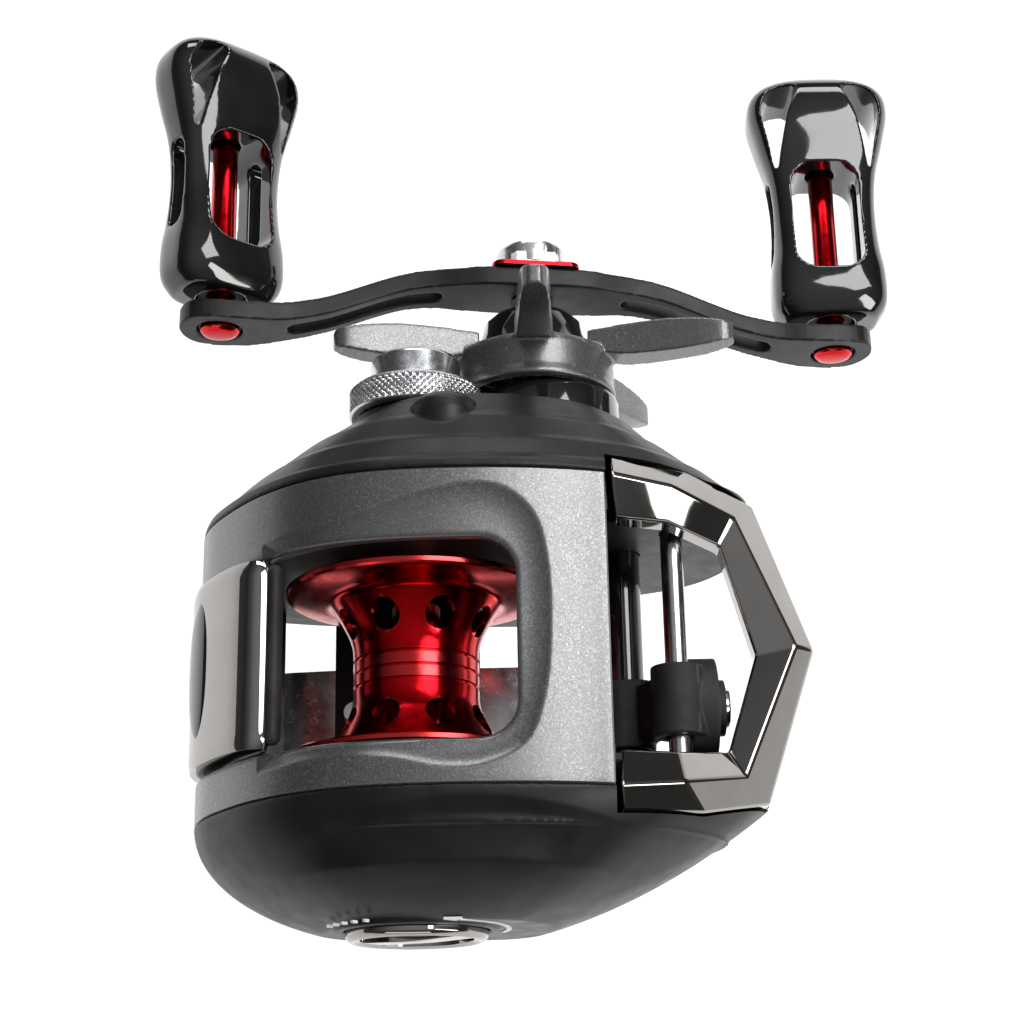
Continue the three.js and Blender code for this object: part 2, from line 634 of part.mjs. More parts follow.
place('pinion_gear', pinionGear(), FINISH.brass());
place('pinion_yoke', pinionYoke(), FINISH.nylon());
POST_Z.forEach((z, i) => place(`yoke_post_${i + 1}`, drum(1, [14.3, 30.6], [POST_X, z], 12), FINISH.steel()));
place('clutch_cam', clutchCam(), FINISH.steel());
place('thumb_bar', thumbBar(), FINISH.darkChrome());

// Return springs on the yoke posts, drawn at their fitted length.
function spring(z) {
  const turns = 1.5;
  const [y0, y1] = [29.3, 30.1];
  class Coil extends THREE.Curve {
    getPoint(t, target = new THREE.Vector3()) {
      const angle = 2 * Math.PI * turns * t;
      return target.set(POST_X + 1.5 * Math.cos(angle), y0 + (y1 - y0) * t, z + 1.5 * Math.sin(angle));
    }
  }
  const wire = [[-0.18, 0], [0, -0.18], [0.18, 0], [0, 0.18]];
  return solid(new THREE.ExtrudeGeometry(shapeOf(wire), { steps: 18, extrudePath: new Coil() }));
}

POST_Z.forEach((z, i) => place(`yoke_spring_${i + 1}`, spring(z), FINISH.steel()));

// ---------- drive train ----------
const towardPinion = Math.atan2(-DRIVE[1], -DRIVE[0]);
const towardWorm = Math.atan2(WORM[1] - DRIVE[1], WORM[0] - DRIVE[0]);

function mainGear() {
  const teeth = gearOutline({
    teeth: DRIVE_TEETH, module: GEAR_MODULE, shift: -PROFILE_SHIFT, at: DRIVE,
    phase: towardPinion + Math.PI / DRIVE_TEETH,
  });
  return cut(prismY(teeth, MAIN_GEAR_Y), drum(12.4, [23, 30], DRIVE, 32), drum(3.7, [20, 30], DRIVE));
}

function driveShaft() {
  return turned([
    [0, 14.8], [2.4, 14.8], [2.4, 18.4], [3.4, 18.4], [3.4, 27.4], [2.9, 27.4], [2.9, 54.6],
    [2.5, 54.6], [2.5, 60.6], [0, 60.6],
  ], DRIVE);
}

place('main_gear', mainGear(), FINISH.brass());
place('drag_washer_inner', ring(3.8, 12, [23.1, 23.7], DRIVE), FINISH.carbon());
place('drag_pressure_plate', ring(3.6, 11.4, [23.9, 25], DRIVE), FINISH.steel());
place('drag_washer_outer', ring(3.6, 9.4, [25.2, 25.8], DRIVE), FINISH.carbon());
place('drag_spring_washer', turned([
  [3.6, 26.4], [6.6, 26], [6.6, 26.5], [3.6, 26.9], [3.6, 26.4],
], DRIVE), FINISH.steel());
place('drive_shaft', driveShaft(), FINISH.steel());
place('drive_shaft_bearing', ring(2.55, 5, [14.9, 18], DRIVE), FINISH.steel());
place('roller_sleeve', ring(3.1, 4.4, [27.8, 38.6], DRIVE), FINISH.steel());
place('one_way_bearing', ring(4.6, 6.6, [29.8, 37.2], DRIVE), FINISH.steel());

const windTeeth = gearOutline({ teeth: WIND_TEETH, module: WIND_MODULE, at: DRIVE, phase: towardWorm });
place('level_wind_drive_gear', cut(prismY(windTeeth, WIND_GEAR_Y), drum(3.6, [10, 30], DRIVE)),
  FINISH.nylon());

// ---------- level wind ----------
function wormGear() {
  const teeth = gearOutline({
    teeth: WORM_TEETH, module: WIND_MODULE, at: WORM, phase: towardWorm + Math.PI + Math.PI / WORM_TEETH,
  });
  return cut(prismY(teeth, WIND_GEAR_Y), drum(1.4, [10, 30], WORM, 16));
}

function wormTube() {
  const tube = ring(1.85, WORM_TUBE_R, [-12.8, 17.2], WORM, 20);
  return cut(tube, box([WORM[0] - 0.9, WORM[0] + 0.9], [-10.4, 14.6], [WORM[1] - 4, WORM[1]]));
}

function lineGuide() {
  const [y0, y1] = GUIDE_Y;
  const rodBlock = prismY(roundedRect([29.1, 35.4], [0.6, 7.9], 2.6), GUIDE_Y);
  const wormBlock = prismY(roundedRect([23.2, 30], [-8.6, -0.9], 2.6), GUIDE_Y);
  const neck = prismY([[26.4, -4], [30, -4], [33, 2], [32, 6], [29.2, 3]], [y0 + 1, y1 - 1]);
  const disc = drumX(EYELET.r, [33.6, 36.7], [EYELET.y, EYELET.z], 20);
  const nozzle = drumX(3.5, [36, 38.3], [EYELET.y, EYELET.z]);
  return cut(
    join(rodBlock, wormBlock, neck, disc, nozzle),
    drum(GUIDE_ROD_R + 0.25, [-20, 20], GUIDE_ROD, 16),
    drum(WORM_TUBE_R + 0.25, [-20, 20], WORM, 20),
    drumX(EYELET.hole, [30, 45], [EYELET.y, EYELET.z]),
    drumX(2.75, [37.2, 45], [EYELET.y, EYELET.z]),
    drumZ(1.25, [-20, WORM[1]], [WORM[0], (y0 + y1) / 2]),
  );
}

function linePawl() {
  const y = (GUIDE_Y[0] + GUIDE_Y[1]) / 2;
  return join(
    drumZ(0.65, [WORM[1] - 3.4, WORM[1] - 1.7], [WORM[0], y], 10),
    drumZ(1, [WORM[1] - 4.4, WORM[1] - 2.9], [WORM[0], y], 12),
  );
}

const guideRing = () => {
  const geometry = new THREE.LatheGeometry([
    new THREE.Vector2(1.9, 37.5), new THREE.Vector2(2.5, 37.5), new THREE.Vector2(2.5, 38.9),
    new THREE.Vector2(1.9, 38.9), new THREE.Vector2(1.9, 37.5),
  ], 20);
  return solid(geometry.rotateZ(-Math.PI / 2).translate(0, EYELET.y, EYELET.z));
};

place('worm_shaft', drum(1.5, [-13.9, 18.8], WORM, 16).add(drum(1.1, [18.5, 21], WORM, 12)), FINISH.steel());
place('worm_gear', wormGear(), FINISH.nylon());
place('worm_tube', wormTube(), FINISH.glossBlack());
place('guide_rod', drum(GUIDE_ROD_R, [-13.4, 17.6], GUIDE_ROD, 20), FINISH.steel());
place('line_guide', lineGuide(), FINISH.textureBlack());
place('line_guide_ring', guideRing(), FINISH.steel());
place('line_guide_pawl', linePawl(), FINISH.brass());
place('pawl_cap', drumZ(1.1, [WORM[1] - 6, WORM[1] - 4.7], [WORM[0], (GUIDE_Y[0] + GUIDE_Y[1]) / 2], 12),
  FINISH.steel());

// ---------- star drag ----------
function starArm(index) {
  const half = [[8.4, 2.5], [14, 2.2], [20, 2], [25, 1.8], [27, 1.5], [STAR_REACH, 0.8]];
  const outline = [...half, ...half.map(([r, w]) => [r, -w]).reverse()];
  const fin = prismY(outline, [43.8, 48.8]);
  const side = [[0, 45.2], [9, 45.2], [13, 44.2], [24, 44], [STAR_REACH + 1, 44.8], [STAR_REACH + 1, 46.8],
    [20, 48.4], [9, 48.2], [0, 47]];
  const shaped = fin.intersect(prismZ(side, [-8, 8]));
  const turn = THREE.MathUtils.degToRad(90 + 360 * index / STAR_ARMS);
  const geometry = geometryOf(shaped).rotateY(-turn).translate(DRIVE[0], 0, DRIVE[1]);
  return solid(geometry);
}

function starDrag() {
  const hub = turned([
    [3.2, 45.2], [9.4, 45.2], [9.4, STAR_Y[0]], [STAR_R + 0.2, STAR_Y[0]], [STAR_R + 0.2, STAR_Y[0] + 0.8],
    [STAR_R, STAR_Y[0] + 1.6], [STAR_R, STAR_Y[1] - 0.8], [STAR_R - 1, STAR_Y[1] + 0.2], [8, 46.6],
    [6.4, 50.6], [3.2, 52], [3.2, 45.2],
  ], DRIVE);
  return join(hub, ...Array.from({ length: STAR_ARMS }, (_, i) => starArm(i)));
}

const dragNut = () => cut(
  drum(5.4, [40.6, 44.6], DRIVE, 6),
  drum(3.1, [30, 50], DRIVE, 16),
);

place('star_drag', starDrag(), FINISH.gunmetal());
place('drag_nut', dragNut(), FINISH.brass());

// ---------- handle ----------
const handle = new THREE.Group();
handle.position.set(DRIVE[0], 0, DRIVE[1]);
handle.rotation.y = THREE.MathUtils.degToRad(HANDLE_TILT);
reel.add(handle);

function handleArm() {
  const low = ARM_Y[0] - ARM_DROP;
  const halfBow = [[0, 0], [9, 0], [17, -0.7], [29, -4.9], [36.5, -ARM_DROP], [49, -ARM_DROP]];
  const bowLine = [...halfBow.slice(1).reverse().map(([x, d]) => [-x, d]), ...halfBow];
  const bow = [
    ...bowLine.map(([x, d]) => [x, ARM_Y[1] + d]),
    ...bowLine.map(([x, d]) => [x, ARM_Y[0] + d]).reverse(),
  ];
  const quarter = [[0, 5], [7, 4.8], [14, 3.6], [26, 3.3], [34, 3.7], [38.4, 4.6]];
  const end = [55, 28, 0, -28, -55].map((a) => polar(5.4, THREE.MathUtils.degToRad(a), [KNOB_REACH, 0]));
  const right = [...quarter.slice(1), ...end, ...quarter.slice(1).map(([x, z]) => [x, -z]).reverse()];
  const plan = [[0, 5], ...right, [0, -5], ...right.map(([x, z]) => [-x, z]).reverse()];
  const slot = (side) => {
    const xs = [12.5 * side, 33.5 * side].sort((a, b) => a - b);
    return prismY(roundedRect(xs, [-1.5, 1.5], 1.4, 2), [30, 70]);
  };
  const ends = [-KNOB_REACH, KNOB_REACH].flatMap((x) => [
    drum(POST_R + 0.25, [30, 70], [x, 0], 16),
    drum(3.1, [30, low + 0.8], [x, 0], 20),
  ]);
  return cut(
    prismZ(bow, [-8, 8]).intersect(prismY(plan, [30, 70])),
    slot(1), slot(-1), drum(2.75, [30, 70], [0, 0], 20), ...ends,
  );
}

function handleNut() {
  const hex = drum(5.3, [58.6, 60.2], [0, 0], 6);
  const cap = turned([[0, 59], [4.8, 59], [4.8, 61.6], [4.1, 62.4], [0, 62.5]], [0, 0], 28);
  return cut(join(hex, cap), drum(2.75, [50, 61], [0, 0], 16));
}

function nutRetainer() {
  const plate = prismY(roundedRect([-6, 6], [-5.6, 5.6], 1.6), [57.8, 58.4]);
  return cut(plate, drum(2.8, [50, 70], [0, 0], 20));
}

// Half-widths along the knob, from its foot to its crown.
const KNOB_OUTLINE = [
  [6.4, 53], [7.8, 55], [8.1, 59.5], [7.6, 64], [7.4, 70], [7.9, 75.5], [9.3, 81], [10.2, 85.6], [9.6, 88.8],
  [7.4, 90.6], [3.6, 91.3],
];
const KNOB_SIDE = [[4.6, 53], [5.9, 56], [5.9, 60], [4.7, 68], [5, 76], [6.1, 84], [5.4, 89], [3.6, 91.3]];
const UPPER_WINDOW = [[3, 88.3], [7.2, 87.9], [8.6, 85.6], [7.9, 80.8], [6.9, 77], [6.1, 80.2], [4.6, 84.4]];

function knob() {
  const both = (half) => [...half, ...half.map(([w, y]) => [-w, y]).reverse()];
  const front = prismZ(both(KNOB_OUTLINE), [-8, 8]);
  const side = extruded(both(KNOB_SIDE), 24).translate(0, 0, -12).rotateY(Math.PI / 2);
  const lowerWindow = roundedRect([-4.8, 4.8], [59.6, 76.4], 3.2, 3);
  const windows = [lowerWindow, UPPER_WINDOW, UPPER_WINDOW.map(([w, y]) => [-w, y])];
  return cut(
    front.intersect(solid(side)),
    ...windows.map((outline) => prismZ(outline, [-10, 10])),
    drum(2.05, [50, 84], [0, 0], 16),
    drum(3.35, [50, 57.6], [0, 0], 20),
  );
}

function knobPost() {
  return turned([
    [0, 47.9], [2.3, 48.1], [2.6, 48.4], [2.6, 49.2], [POST_R, 49.2], [POST_R, 83.6], [0, 83.6],
  ], [0, 0], 20);
}

place('handle_arm', handleArm(), FINISH.satinBlack(), handle);
place('nut_retainer', nutRetainer(), FINISH.red(), handle);
place('handle_nut', handleNut(), FINISH.silver(), handle);
for (const [letter, side] of [['a', 1], ['b', -1]]) {
  const at = new THREE.Group();
  at.position.x = side * KNOB_REACH;
  at.rotation.y = THREE.MathUtils.degToRad(KNOB_TURN[letter] - HANDLE_TILT);
  handle.add(at);
  place(`knob_post_${letter}`, knobPost(), FINISH.red(), at);
  place(`knob_bush_${letter}`, ring(POST_R + 0.2, 3.15, [53.6, 57.3], [0, 0], 20), FINISH.nylon(), at);
  place(`knob_${letter}`, knob(), FINISH.glossBlack(), at);
}

// ---------- spool tension and cast brake ----------
function tensionKnob() {
  const { r, y: [y0, y1], capR, capTop } = TENSION;
  return turned([
    [5.5, y0], [r - 0.5, y0], [r, y0 + 0.4], [r, y1 - 0.4], [r - 0.5, y1], [capR + 0.6, y1 + 0.3], [capR, y1 + 1],
    [capR, capTop - 0.7], [capR - 0.7, capTop], [0, capTop], [0, 38.6], [5.5, 38.6], [5.5, y0],
  ], [0, 0], 28);
}

function brakeDial() {
  const { r, y: [y0, y1] } = DIAL;
  const disc = turned([[0, y1], [r, y1], [r, y0 + 0.9], [r - 0.7, y0 + 0.3], [0, y0 + 0.3]], [0, 0], 32);
  const stem = drum(2.1, [y1 - 0.5, -26.6]);
  const scoop = (side) => {
    const outline = Array.from({ length: 9 }, (_, i) => {
      const angle = Math.asin(1.6 / 6.9) + (Math.PI - 2 * Math.asin(1.6 / 6.9)) * i / 8;
      return polar(6.9, side * angle);
    });
    return prismY(outline, [y0 - 1, y0 + 1.5]);
  };
  return join(cut(disc, scoop(1), scoop(-1)), stem);
}

function magnetCarrier() {
  const legs = CARRIER_LEGS.map((at) => drum(1, [-24.7, -18], at, 12));
  return join(ring(7, 13, [-19.4, -18], [0, 0], 28), ...legs);
}

place('tension_knob', tensionKnob(), FINISH.silver());
place('brake_dial', brakeDial(), FINISH.darkChrome());
place('brake_cam', cut(drum(11, [-27.5, -25], [0, 0], 24), drum(2.3, [-29, -26.3]),
  drum(8, [-26.1, -20], [0, 0], 20)), FINISH.nylon());
place('magnet_carrier', magnetCarrier(), FINISH.nylon());
[30, 150, 270].forEach((angle, i) => {
  const at = polar(10, THREE.MathUtils.degToRad(angle));
  place(`brake_magnet_${i + 1}`, drum(2, [-17.7, -15.9], at, 14), FINISH.magnet());
});

export default part;
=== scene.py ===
# Looks for the baitcasting reel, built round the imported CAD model.
# Shapes are drawn in millimetres about the spool's centre, then placed in metres in the CAD frame.
import json
import math

import bmesh
import bpy
from mathutils import Matrix, Vector

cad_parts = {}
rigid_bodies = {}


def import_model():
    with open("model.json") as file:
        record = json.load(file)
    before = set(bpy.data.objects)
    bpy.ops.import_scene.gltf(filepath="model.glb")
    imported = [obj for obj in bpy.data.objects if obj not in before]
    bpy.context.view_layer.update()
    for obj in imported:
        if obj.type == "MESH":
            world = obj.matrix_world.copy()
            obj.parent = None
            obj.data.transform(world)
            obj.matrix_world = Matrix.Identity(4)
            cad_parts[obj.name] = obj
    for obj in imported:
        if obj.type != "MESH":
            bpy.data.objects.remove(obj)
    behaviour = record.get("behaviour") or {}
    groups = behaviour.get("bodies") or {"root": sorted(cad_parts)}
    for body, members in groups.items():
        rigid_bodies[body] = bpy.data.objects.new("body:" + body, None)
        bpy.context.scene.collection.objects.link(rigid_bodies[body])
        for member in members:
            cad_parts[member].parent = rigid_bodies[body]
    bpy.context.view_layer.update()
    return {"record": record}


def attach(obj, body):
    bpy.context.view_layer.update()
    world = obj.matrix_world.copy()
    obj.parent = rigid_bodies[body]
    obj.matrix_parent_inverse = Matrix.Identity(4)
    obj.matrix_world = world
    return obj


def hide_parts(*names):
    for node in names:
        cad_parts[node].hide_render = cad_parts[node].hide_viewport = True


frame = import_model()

record = frame["record"]
BODY_OF = {node: body for body, nodes in record["behaviour"]["bodies"].items() for node in nodes}
SLOT_OF = {part["node"]: part["material_slot"] for part in record["subparts"]}
SPOOL_AT = Vector((-4, 0, 24))
MM = 0.001

# ---------- dimensions shared with the CAD ----------
COVER_Y = (-17.2, 20.9)
COVER_FRONT_X = 23.7
COVER_REAR_Z = -11
COVER_WALL = 2.2
GAP = 0.3
WINDOW_FRONT, WINDOW_PALM, WINDOW_GEAR, WINDOW_CORNER = 12.7, -11.6, 12.4, 4.5
SHELL = 1.6
SPOOL_HOLES = 8
DRIVE = (15.7, -7.26636)
BOSS = (17.4, DRIVE[1])
WORM = (26.5, -4.11636)
GUIDE_ROD = (32.3, 4.5)
GUIDE_Y = (-9.1, -0.4)
EYELET = (-4.75, 0.6)
KNOB_REACH = 42.5
HANDLE_TILT = math.radians(8.1)
KNOB_TURN = {"a": 0.0, "b": math.radians(40)}
ARM_Y = (55, 57.6)
ARM_DROP = 6.3
RIVET_X = (-9.4, -2.4)
POST_X = -2.4
POST_Z = (-7.6, 7.6)
THUMB_Y = (-11.2, 12)
CARRIER_LEGS = (90, 210, 330)
CARRIER_LEG_R = 9.4
PLATE_SCREWS = ((-20, -12), (-6, -18.6), (36.4, -9.5))
HANDLE = Matrix.Translation((DRIVE[0], 0, DRIVE[1])) @ Matrix.Rotation(HANDLE_TILT, 4, "Y")


# ---------- outlines ----------
def smooth_loop(points, count, closed=True):
    """Evenly spaced points on a centripetal Catmull-Rom curve through the given ones."""
    pts = [Vector(p) for p in points]
    n = len(pts)
    if closed:
        at = lambda i: pts[i % n]
    else:
        at = lambda i: pts[i] if 0 <= i < n else (2 * pts[0] - pts[1] if i < 0 else 2 * pts[-1] - pts[-2])
    dense = []
    for i in range(n if closed else n - 1):
        p0, p1, p2, p3 = at(i - 1), at(i), at(i + 1), at(i + 2)
        d0, d1, d2 = [max(1e-6, (b - a).length) ** 0.5 for a, b in ((p0, p1), (p1, p2), (p2, p3))]
        t1 = ((p1 - p0) / d0 - (p2 - p0) / (d0 + d1) + (p2 - p1) / d1) * d1
        t2 = ((p2 - p1) / d1 - (p3 - p1) / (d1 + d2) + (p3 - p2) / d2) * d1
        for k in range(24):
            s = k / 24
            dense.append((2 * s**3 - 3 * s**2 + 1) * p1 + (s**3 - 2 * s**2 + s) * t1
                + (3 * s**2 - 2 * s**3) * p2 + (s**3 - s**2) * t2)
    dense.append(dense[0] if closed else pts[-1])
    return resample(dense, count, closed)


def resample(line, count, closed=False):
    steps = [0.0]
    for a, b in zip(line, line[1:]):
        steps.append(steps[-1] + (Vector(b) - Vector(a)).length)
    out, j = [], 0
    for i in range(count):
        want = steps[-1] * i / (count if closed else count - 1)
        while j < len(steps) - 2 and steps[j + 1] < want:
            j += 1
        share = (want - steps[j]) / max(1e-9, steps[j + 1] - steps[j])
        out.append(tuple(Vector(line[j]).lerp(Vector(line[j + 1]), min(1.0, share))))
    return out


def inset(points, distance):
    n = len(points)
    area = sum(a[0] * b[1] - a[1] * b[0] for a, b in zip(points, points[1:] + points[:1]))
    side = 1 if area > 0 else -1
    out = []
    for i, point in enumerate(points):
        here = Vector(point)
        before = (here - Vector(points[i - 1])).normalized()
        after = (Vector(points[(i + 1) % n]) - here).normalized()
        normal = Vector((-before.y - after.y, before.x + after.x)).normalized()
        lean = max(0.5, normal.dot(Vector((-before.y, before.x))))
        out.append(tuple(here + normal * distance * side / lean))
    return out


def rounded_rect(xs, ys, r, steps=10):
    centres = ((xs[1] - r, ys[1] - r, 0), (xs[0] + r, ys[1] - r, 90), (xs[0] + r, ys[0] + r, 180),
        (xs[1] - r, ys[0] + r, 270))
    return [polar(r, start + 90 * i / steps, (cx, cy)) for cx, cy, start in centres for i in range(steps + 1)]


def polar(r, degrees, at=(0, 0)):
    angle = math.radians(degrees)
    return at[0] + r * math.cos(angle), at[1] + r * math.sin(angle)


BODY = smooth_loop([
    (-28.4, -9), (-27.2, -2.5), (-23.4, 4.7), (-18.6, 11.1), (-13, 15.9), (-6.9, 18.7), (-0.8, 19.9),
    (8, 20.2), (17, 19.3), (23.7, 17.6), (31, 14.6), (37, 9.6), (42, 3.5), (43.4, -2), (41.5, -10),
    (37, -18), (29.5, -22.8), (20, -24.4), (10, -24.2), (-2, -23.4), (-14, -21.8), (-23.5, -17.5),
], 168)


# ---------- solids ----------
def solid(verts, faces):
    """A closed mesh with its faces turned outwards. It stops the script if it has a hole."""
    mesh = bpy.data.meshes.new("solid")
    bm = bmesh.new()
    made = [bm.verts.new(v) for v in verts]
    for face in faces:
        corners = [made[i] for i in face]
        if len(set(corners)) > 2:
            bm.faces.new(corners)
    bmesh.ops.remove_doubles(bm, verts=bm.verts, dist=1e-4)
    bmesh.ops.recalc_face_normals(bm, faces=bm.faces)
    if any(not edge.is_manifold for edge in bm.edges):
        raise RuntimeError("a solid is open")
    if bm.calc_volume(signed=True) < 0:
        bmesh.ops.reverse_faces(bm, faces=bm.faces)
    bm.to_mesh(mesh)
    bm.free()
    return mesh


def volume(mesh):
    bm = bmesh.new()
    bm.from_mesh(mesh)
    result = bm.calc_volume()
    bm.free()
    return result


def add_object(name, data):
    obj = bpy.data.objects.new(name, data)
    bpy.context.scene.collection.objects.link(obj)
    return obj


def evaluated(mesh, add_modifiers, helpers=()):
    """The mesh after modifiers, with its temporary objects removed again."""
    target = add_object("target", mesh)
    others = [add_object("helper", helper) for helper in helpers]
    add_modifiers(target, others)
    result = bpy.data.meshes.new_from_object(target.evaluated_get(bpy.context.evaluated_depsgraph_get()))
    for obj in [target, *others]:
        bpy.data.objects.remove(obj)
    return result


def boolean(whole, tools, operation):
    for index, tool in enumerate(tools):
        def add(target, others):
            modifier = target.modifiers.new("boolean", "BOOLEAN")
            modifier.operation = operation
            modifier.solver = "MANIFOLD"
            modifier.object = others[0]
        result = evaluated(whole, add, [tool])
        before, after = volume(whole), volume(result)
        changed = before - after if operation != "UNION" else after - before
        if changed < 1e-5 or after < 1e-5:
            raise RuntimeError("%s with tool %d had no effect" % (operation, index))
        whole = result
    return whole


def cut(whole, *tools):
    return boolean(whole, tools, "DIFFERENCE")


def join(whole, *tools):
    return boolean(whole, tools, "UNION")


def common(whole, *tools):
    return boolean(whole, tools, "INTERSECT")


def prism(points, span, to_space):
    n = len(points)
    verts = [to_space(p, span[0]) for p in points] + [to_space(p, span[1]) for p in points]
    sides = [(i, (i + 1) % n, n + (i + 1) % n, n + i) for i in range(n)]
    return solid(verts, [tuple(range(n)), tuple(range(2 * n - 1, n - 1, -1)), *sides])


def prism_y(points, span):
    return prism(points, span, lambda p, t: (p[0], t, p[1]))


def prism_z(points, span):
    return prism(points, span, lambda p, t: (p[0], p[1], t))


def prism_x(points, span):
    return prism(points, span, lambda p, t: (t, p[0], p[1]))


def box(xs, ys, zs):
    return prism_z([(xs[0], ys[0]), (xs[1], ys[0]), (xs[1], ys[1]), (xs[0], ys[1])], zs)


def circle(r, at=(0, 0), segments=64):
    return [polar(r, 360 * i / segments, at) for i in range(segments)]


def drum(r, span, at=(0, 0), segments=64):
    return prism_y(circle(r, at, segments), span)


def drum_z(r, span, at, segments=48):
    return prism_z(circle(r, at, segments), span)


def drum_x(r, span, at, segments=64):
    return prism_x(circle(r, at, segments), span)


def loft(rings):
    n = len(rings[0])
    faces = [(i * n + j, i * n + (j + 1) % n, (i + 1) * n + (j + 1) % n, (i + 1) * n + j)
             for i in range(len(rings) - 1) for j in range(n)]
    last = (len(rings) - 1) * n
    caps = [tuple(range(n)), tuple(range(last + n - 1, last - 1, -1))]
    return solid([p for ring in rings for p in ring], faces + caps)


def turned(profile, at=(0, 0), segments=96, radius=None):
    """(radius, y) points turned about Y. radius(r, y, angle) may reshape the surface."""
    shape = radius or (lambda r, y, angle: r)
    closed = profile[0] == profile[-1]
    points = profile[:-1] if closed else profile
    n = len(points)
    verts = []
    for i in range(segments):
        angle = 2 * math.pi * i / segments
        for r, y in points:
            size = shape(r, y, angle) if r > 0 else 0
            verts.append((at[0] + size * math.cos(angle), y, at[1] + size * math.sin(angle)))
    across = range(n if closed else n - 1)
    faces = [(i * n + j, i * n + (j + 1) % n, (i + 1) % segments * n + (j + 1) % n,
        (i + 1) % segments * n + j) for i in range(segments) for j in across]
    return solid_on_axis(verts, faces)


def solid_on_axis(verts, faces):
    """As solid, for faces whose points meet on the axis."""
    place_of, index, kept = {}, [], []
    for v in verts:
        key = tuple(round(c, 5) for c in v)
        if key not in place_of:
            place_of[key] = len(kept)
            kept.append(v)
        index.append(place_of[key])
    trimmed = []
    for face in faces:
        corners = []
        for i in face:
            if index[i] not in corners:
                corners.append(index[i])
        if len(corners) > 2:
            trimmed.append(tuple(corners))
    return solid(kept, trimmed)


def ring(inner, outer, span, at=(0, 0), chamfer=0.12):
    y0, y1 = span
    c = chamfer
    return turned([(inner, y0 + c), (inner + c, y0), (outer - c, y0), (outer, y0 + c), (outer, y1 - c),
        (outer - c, y1), (inner + c, y1), (inner, y1 - c), (inner, y0 + c)], at)


def moulded(mesh, voxel=0.24, passes=6):
    """The soft edges and fillets of a moulding."""
    def add(target, others):
        remesh = target.modifiers.new("remesh", "REMESH")
        remesh.mode = "VOXEL"
        remesh.voxel_size = voxel
        smooth = target.modifiers.new("smooth", "SMOOTH")
        smooth.factor = 0.5
        smooth.iterations = passes
    return evaluated(mesh, add)


def tube(path, r, segments=10):
    points = [Vector(p) for p in path]
    rings = []
    for i, here in enumerate(points):
        along = (points[min(i + 1, len(points) - 1)] - points[max(i - 1, 0)]).normalized()
        across = along.cross(Vector((0, 1, 0))).normalized()
        up = across.cross(along)
        rings.append([tuple(here + r * (across * math.cos(2 * math.pi * k / segments)
            + up * math.sin(2 * math.pi * k / segments))) for k in range(segments)])
    return loft(rings)


# ---------- materials ----------
class Graph:
    """The nodes of a material or of the world."""

    def __init__(self, tree):
        self.nodes, self.links = tree.nodes, tree.links

    def node(self, kind, **inputs):
        node = self.nodes.new("ShaderNode" + kind)
        for name, value in inputs.items():
            node.inputs[name.replace("_", " ")].default_value = value
        return node

    def ramp(self, source, stops):
        node = self.node("ValToRGB")
        elements = node.color_ramp.elements
        while len(elements) < len(stops):
            elements.new(0.5)
        for element, (position, colour) in zip(elements, stops):
            element.position = position
            element.color = (*colour, 1)
        self.links.new(source, node.inputs["Fac"])
        return node.outputs["Color"]


class Look(Graph):
    """A procedural material. Scales are sizes in millimetres."""

    def __init__(self, name, metallic, coat=0.0, coat_roughness=0.06):
        self.material = bpy.data.materials.new(name)
        self.material.use_nodes = True
        super().__init__(self.material.node_tree)
        self.shader = self.nodes["Principled BSDF"]
        self.shader.inputs["Metallic"].default_value = metallic
        self.shader.inputs["Coat Weight"].default_value = coat
        self.shader.inputs["Coat Roughness"].default_value = coat_roughness
        self.coords = self.node("TexCoord").outputs["Object"]

    def noise(self, size, detail=3.0, stretch=(1, 1, 1)):
        mapping = self.node("Mapping", Scale=[s / (size * MM) for s in stretch])
        self.links.new(self.coords, mapping.inputs["Vector"])
        node = self.node("TexNoise", Scale=1, Detail=detail)
        self.links.new(mapping.outputs["Vector"], node.inputs["Vector"])
        return node.outputs["Fac"]

    def cells(self, size):
        node = self.node("TexVoronoi", Scale=1 / (size * MM))
        self.links.new(self.coords, node.inputs["Vector"])
        return node.outputs["Color"]

    def mix(self, amount, linked, plain):
        """From a linked colour to a plain one."""
        node = self.node("Mix")
        node.data_type = "RGBA"
        self.links.new(amount, node.inputs[0])
        self.links.new(linked, node.inputs[6])
        node.inputs[7].default_value = (*plain, 1)
        return node.outputs[2]

    def colour(self, socket):
        self.links.new(socket, self.shader.inputs["Base Color"])

    def roughness(self, source, low, high):
        node = self.node("MapRange", From_Min=0.3, From_Max=0.7, To_Min=low, To_Max=high)
        self.links.new(source, node.inputs["Value"])
        self.links.new(node.outputs["Result"], self.shader.inputs["Roughness"])

    def bump(self, source, height, strength=0.3):
        node = self.node("Bump", Strength=strength, Distance=height * MM)
        self.links.new(source, node.inputs["Height"])
        self.links.new(node.outputs["Normal"], self.shader.inputs["Normal"])

    def worn(self, colour, wear):
        """A lighter tone where the surface is most convex."""
        edges = self.node("NewGeometry").outputs["Pointiness"]
        return self.mix(self.ramp(edges, [(0.53, (0, 0, 0)), (0.62, (1, 1, 1))]), colour, wear)


def flake_paint():
    look = Look("gunmetal_flake_paint", 0.75, coat=0.45, coat_roughness=0.22)
    flakes = look.cells(0.13)
    tone = look.ramp(flakes, [(0.0, (0.06, 0.06, 0.063)), (0.55, (0.115, 0.115, 0.119)),
        (0.9, (0.27, 0.27, 0.275)), (1.0, (0.55, 0.55, 0.55))])
    cloud = look.noise(9)
    look.colour(look.worn(look.mix(cloud, tone, (0.125, 0.125, 0.129)), (0.24, 0.24, 0.245)))
    look.roughness(look.noise(0.2), 0.28, 0.42)
    look.bump(flakes, 0.012, 0.25)
    return look.material


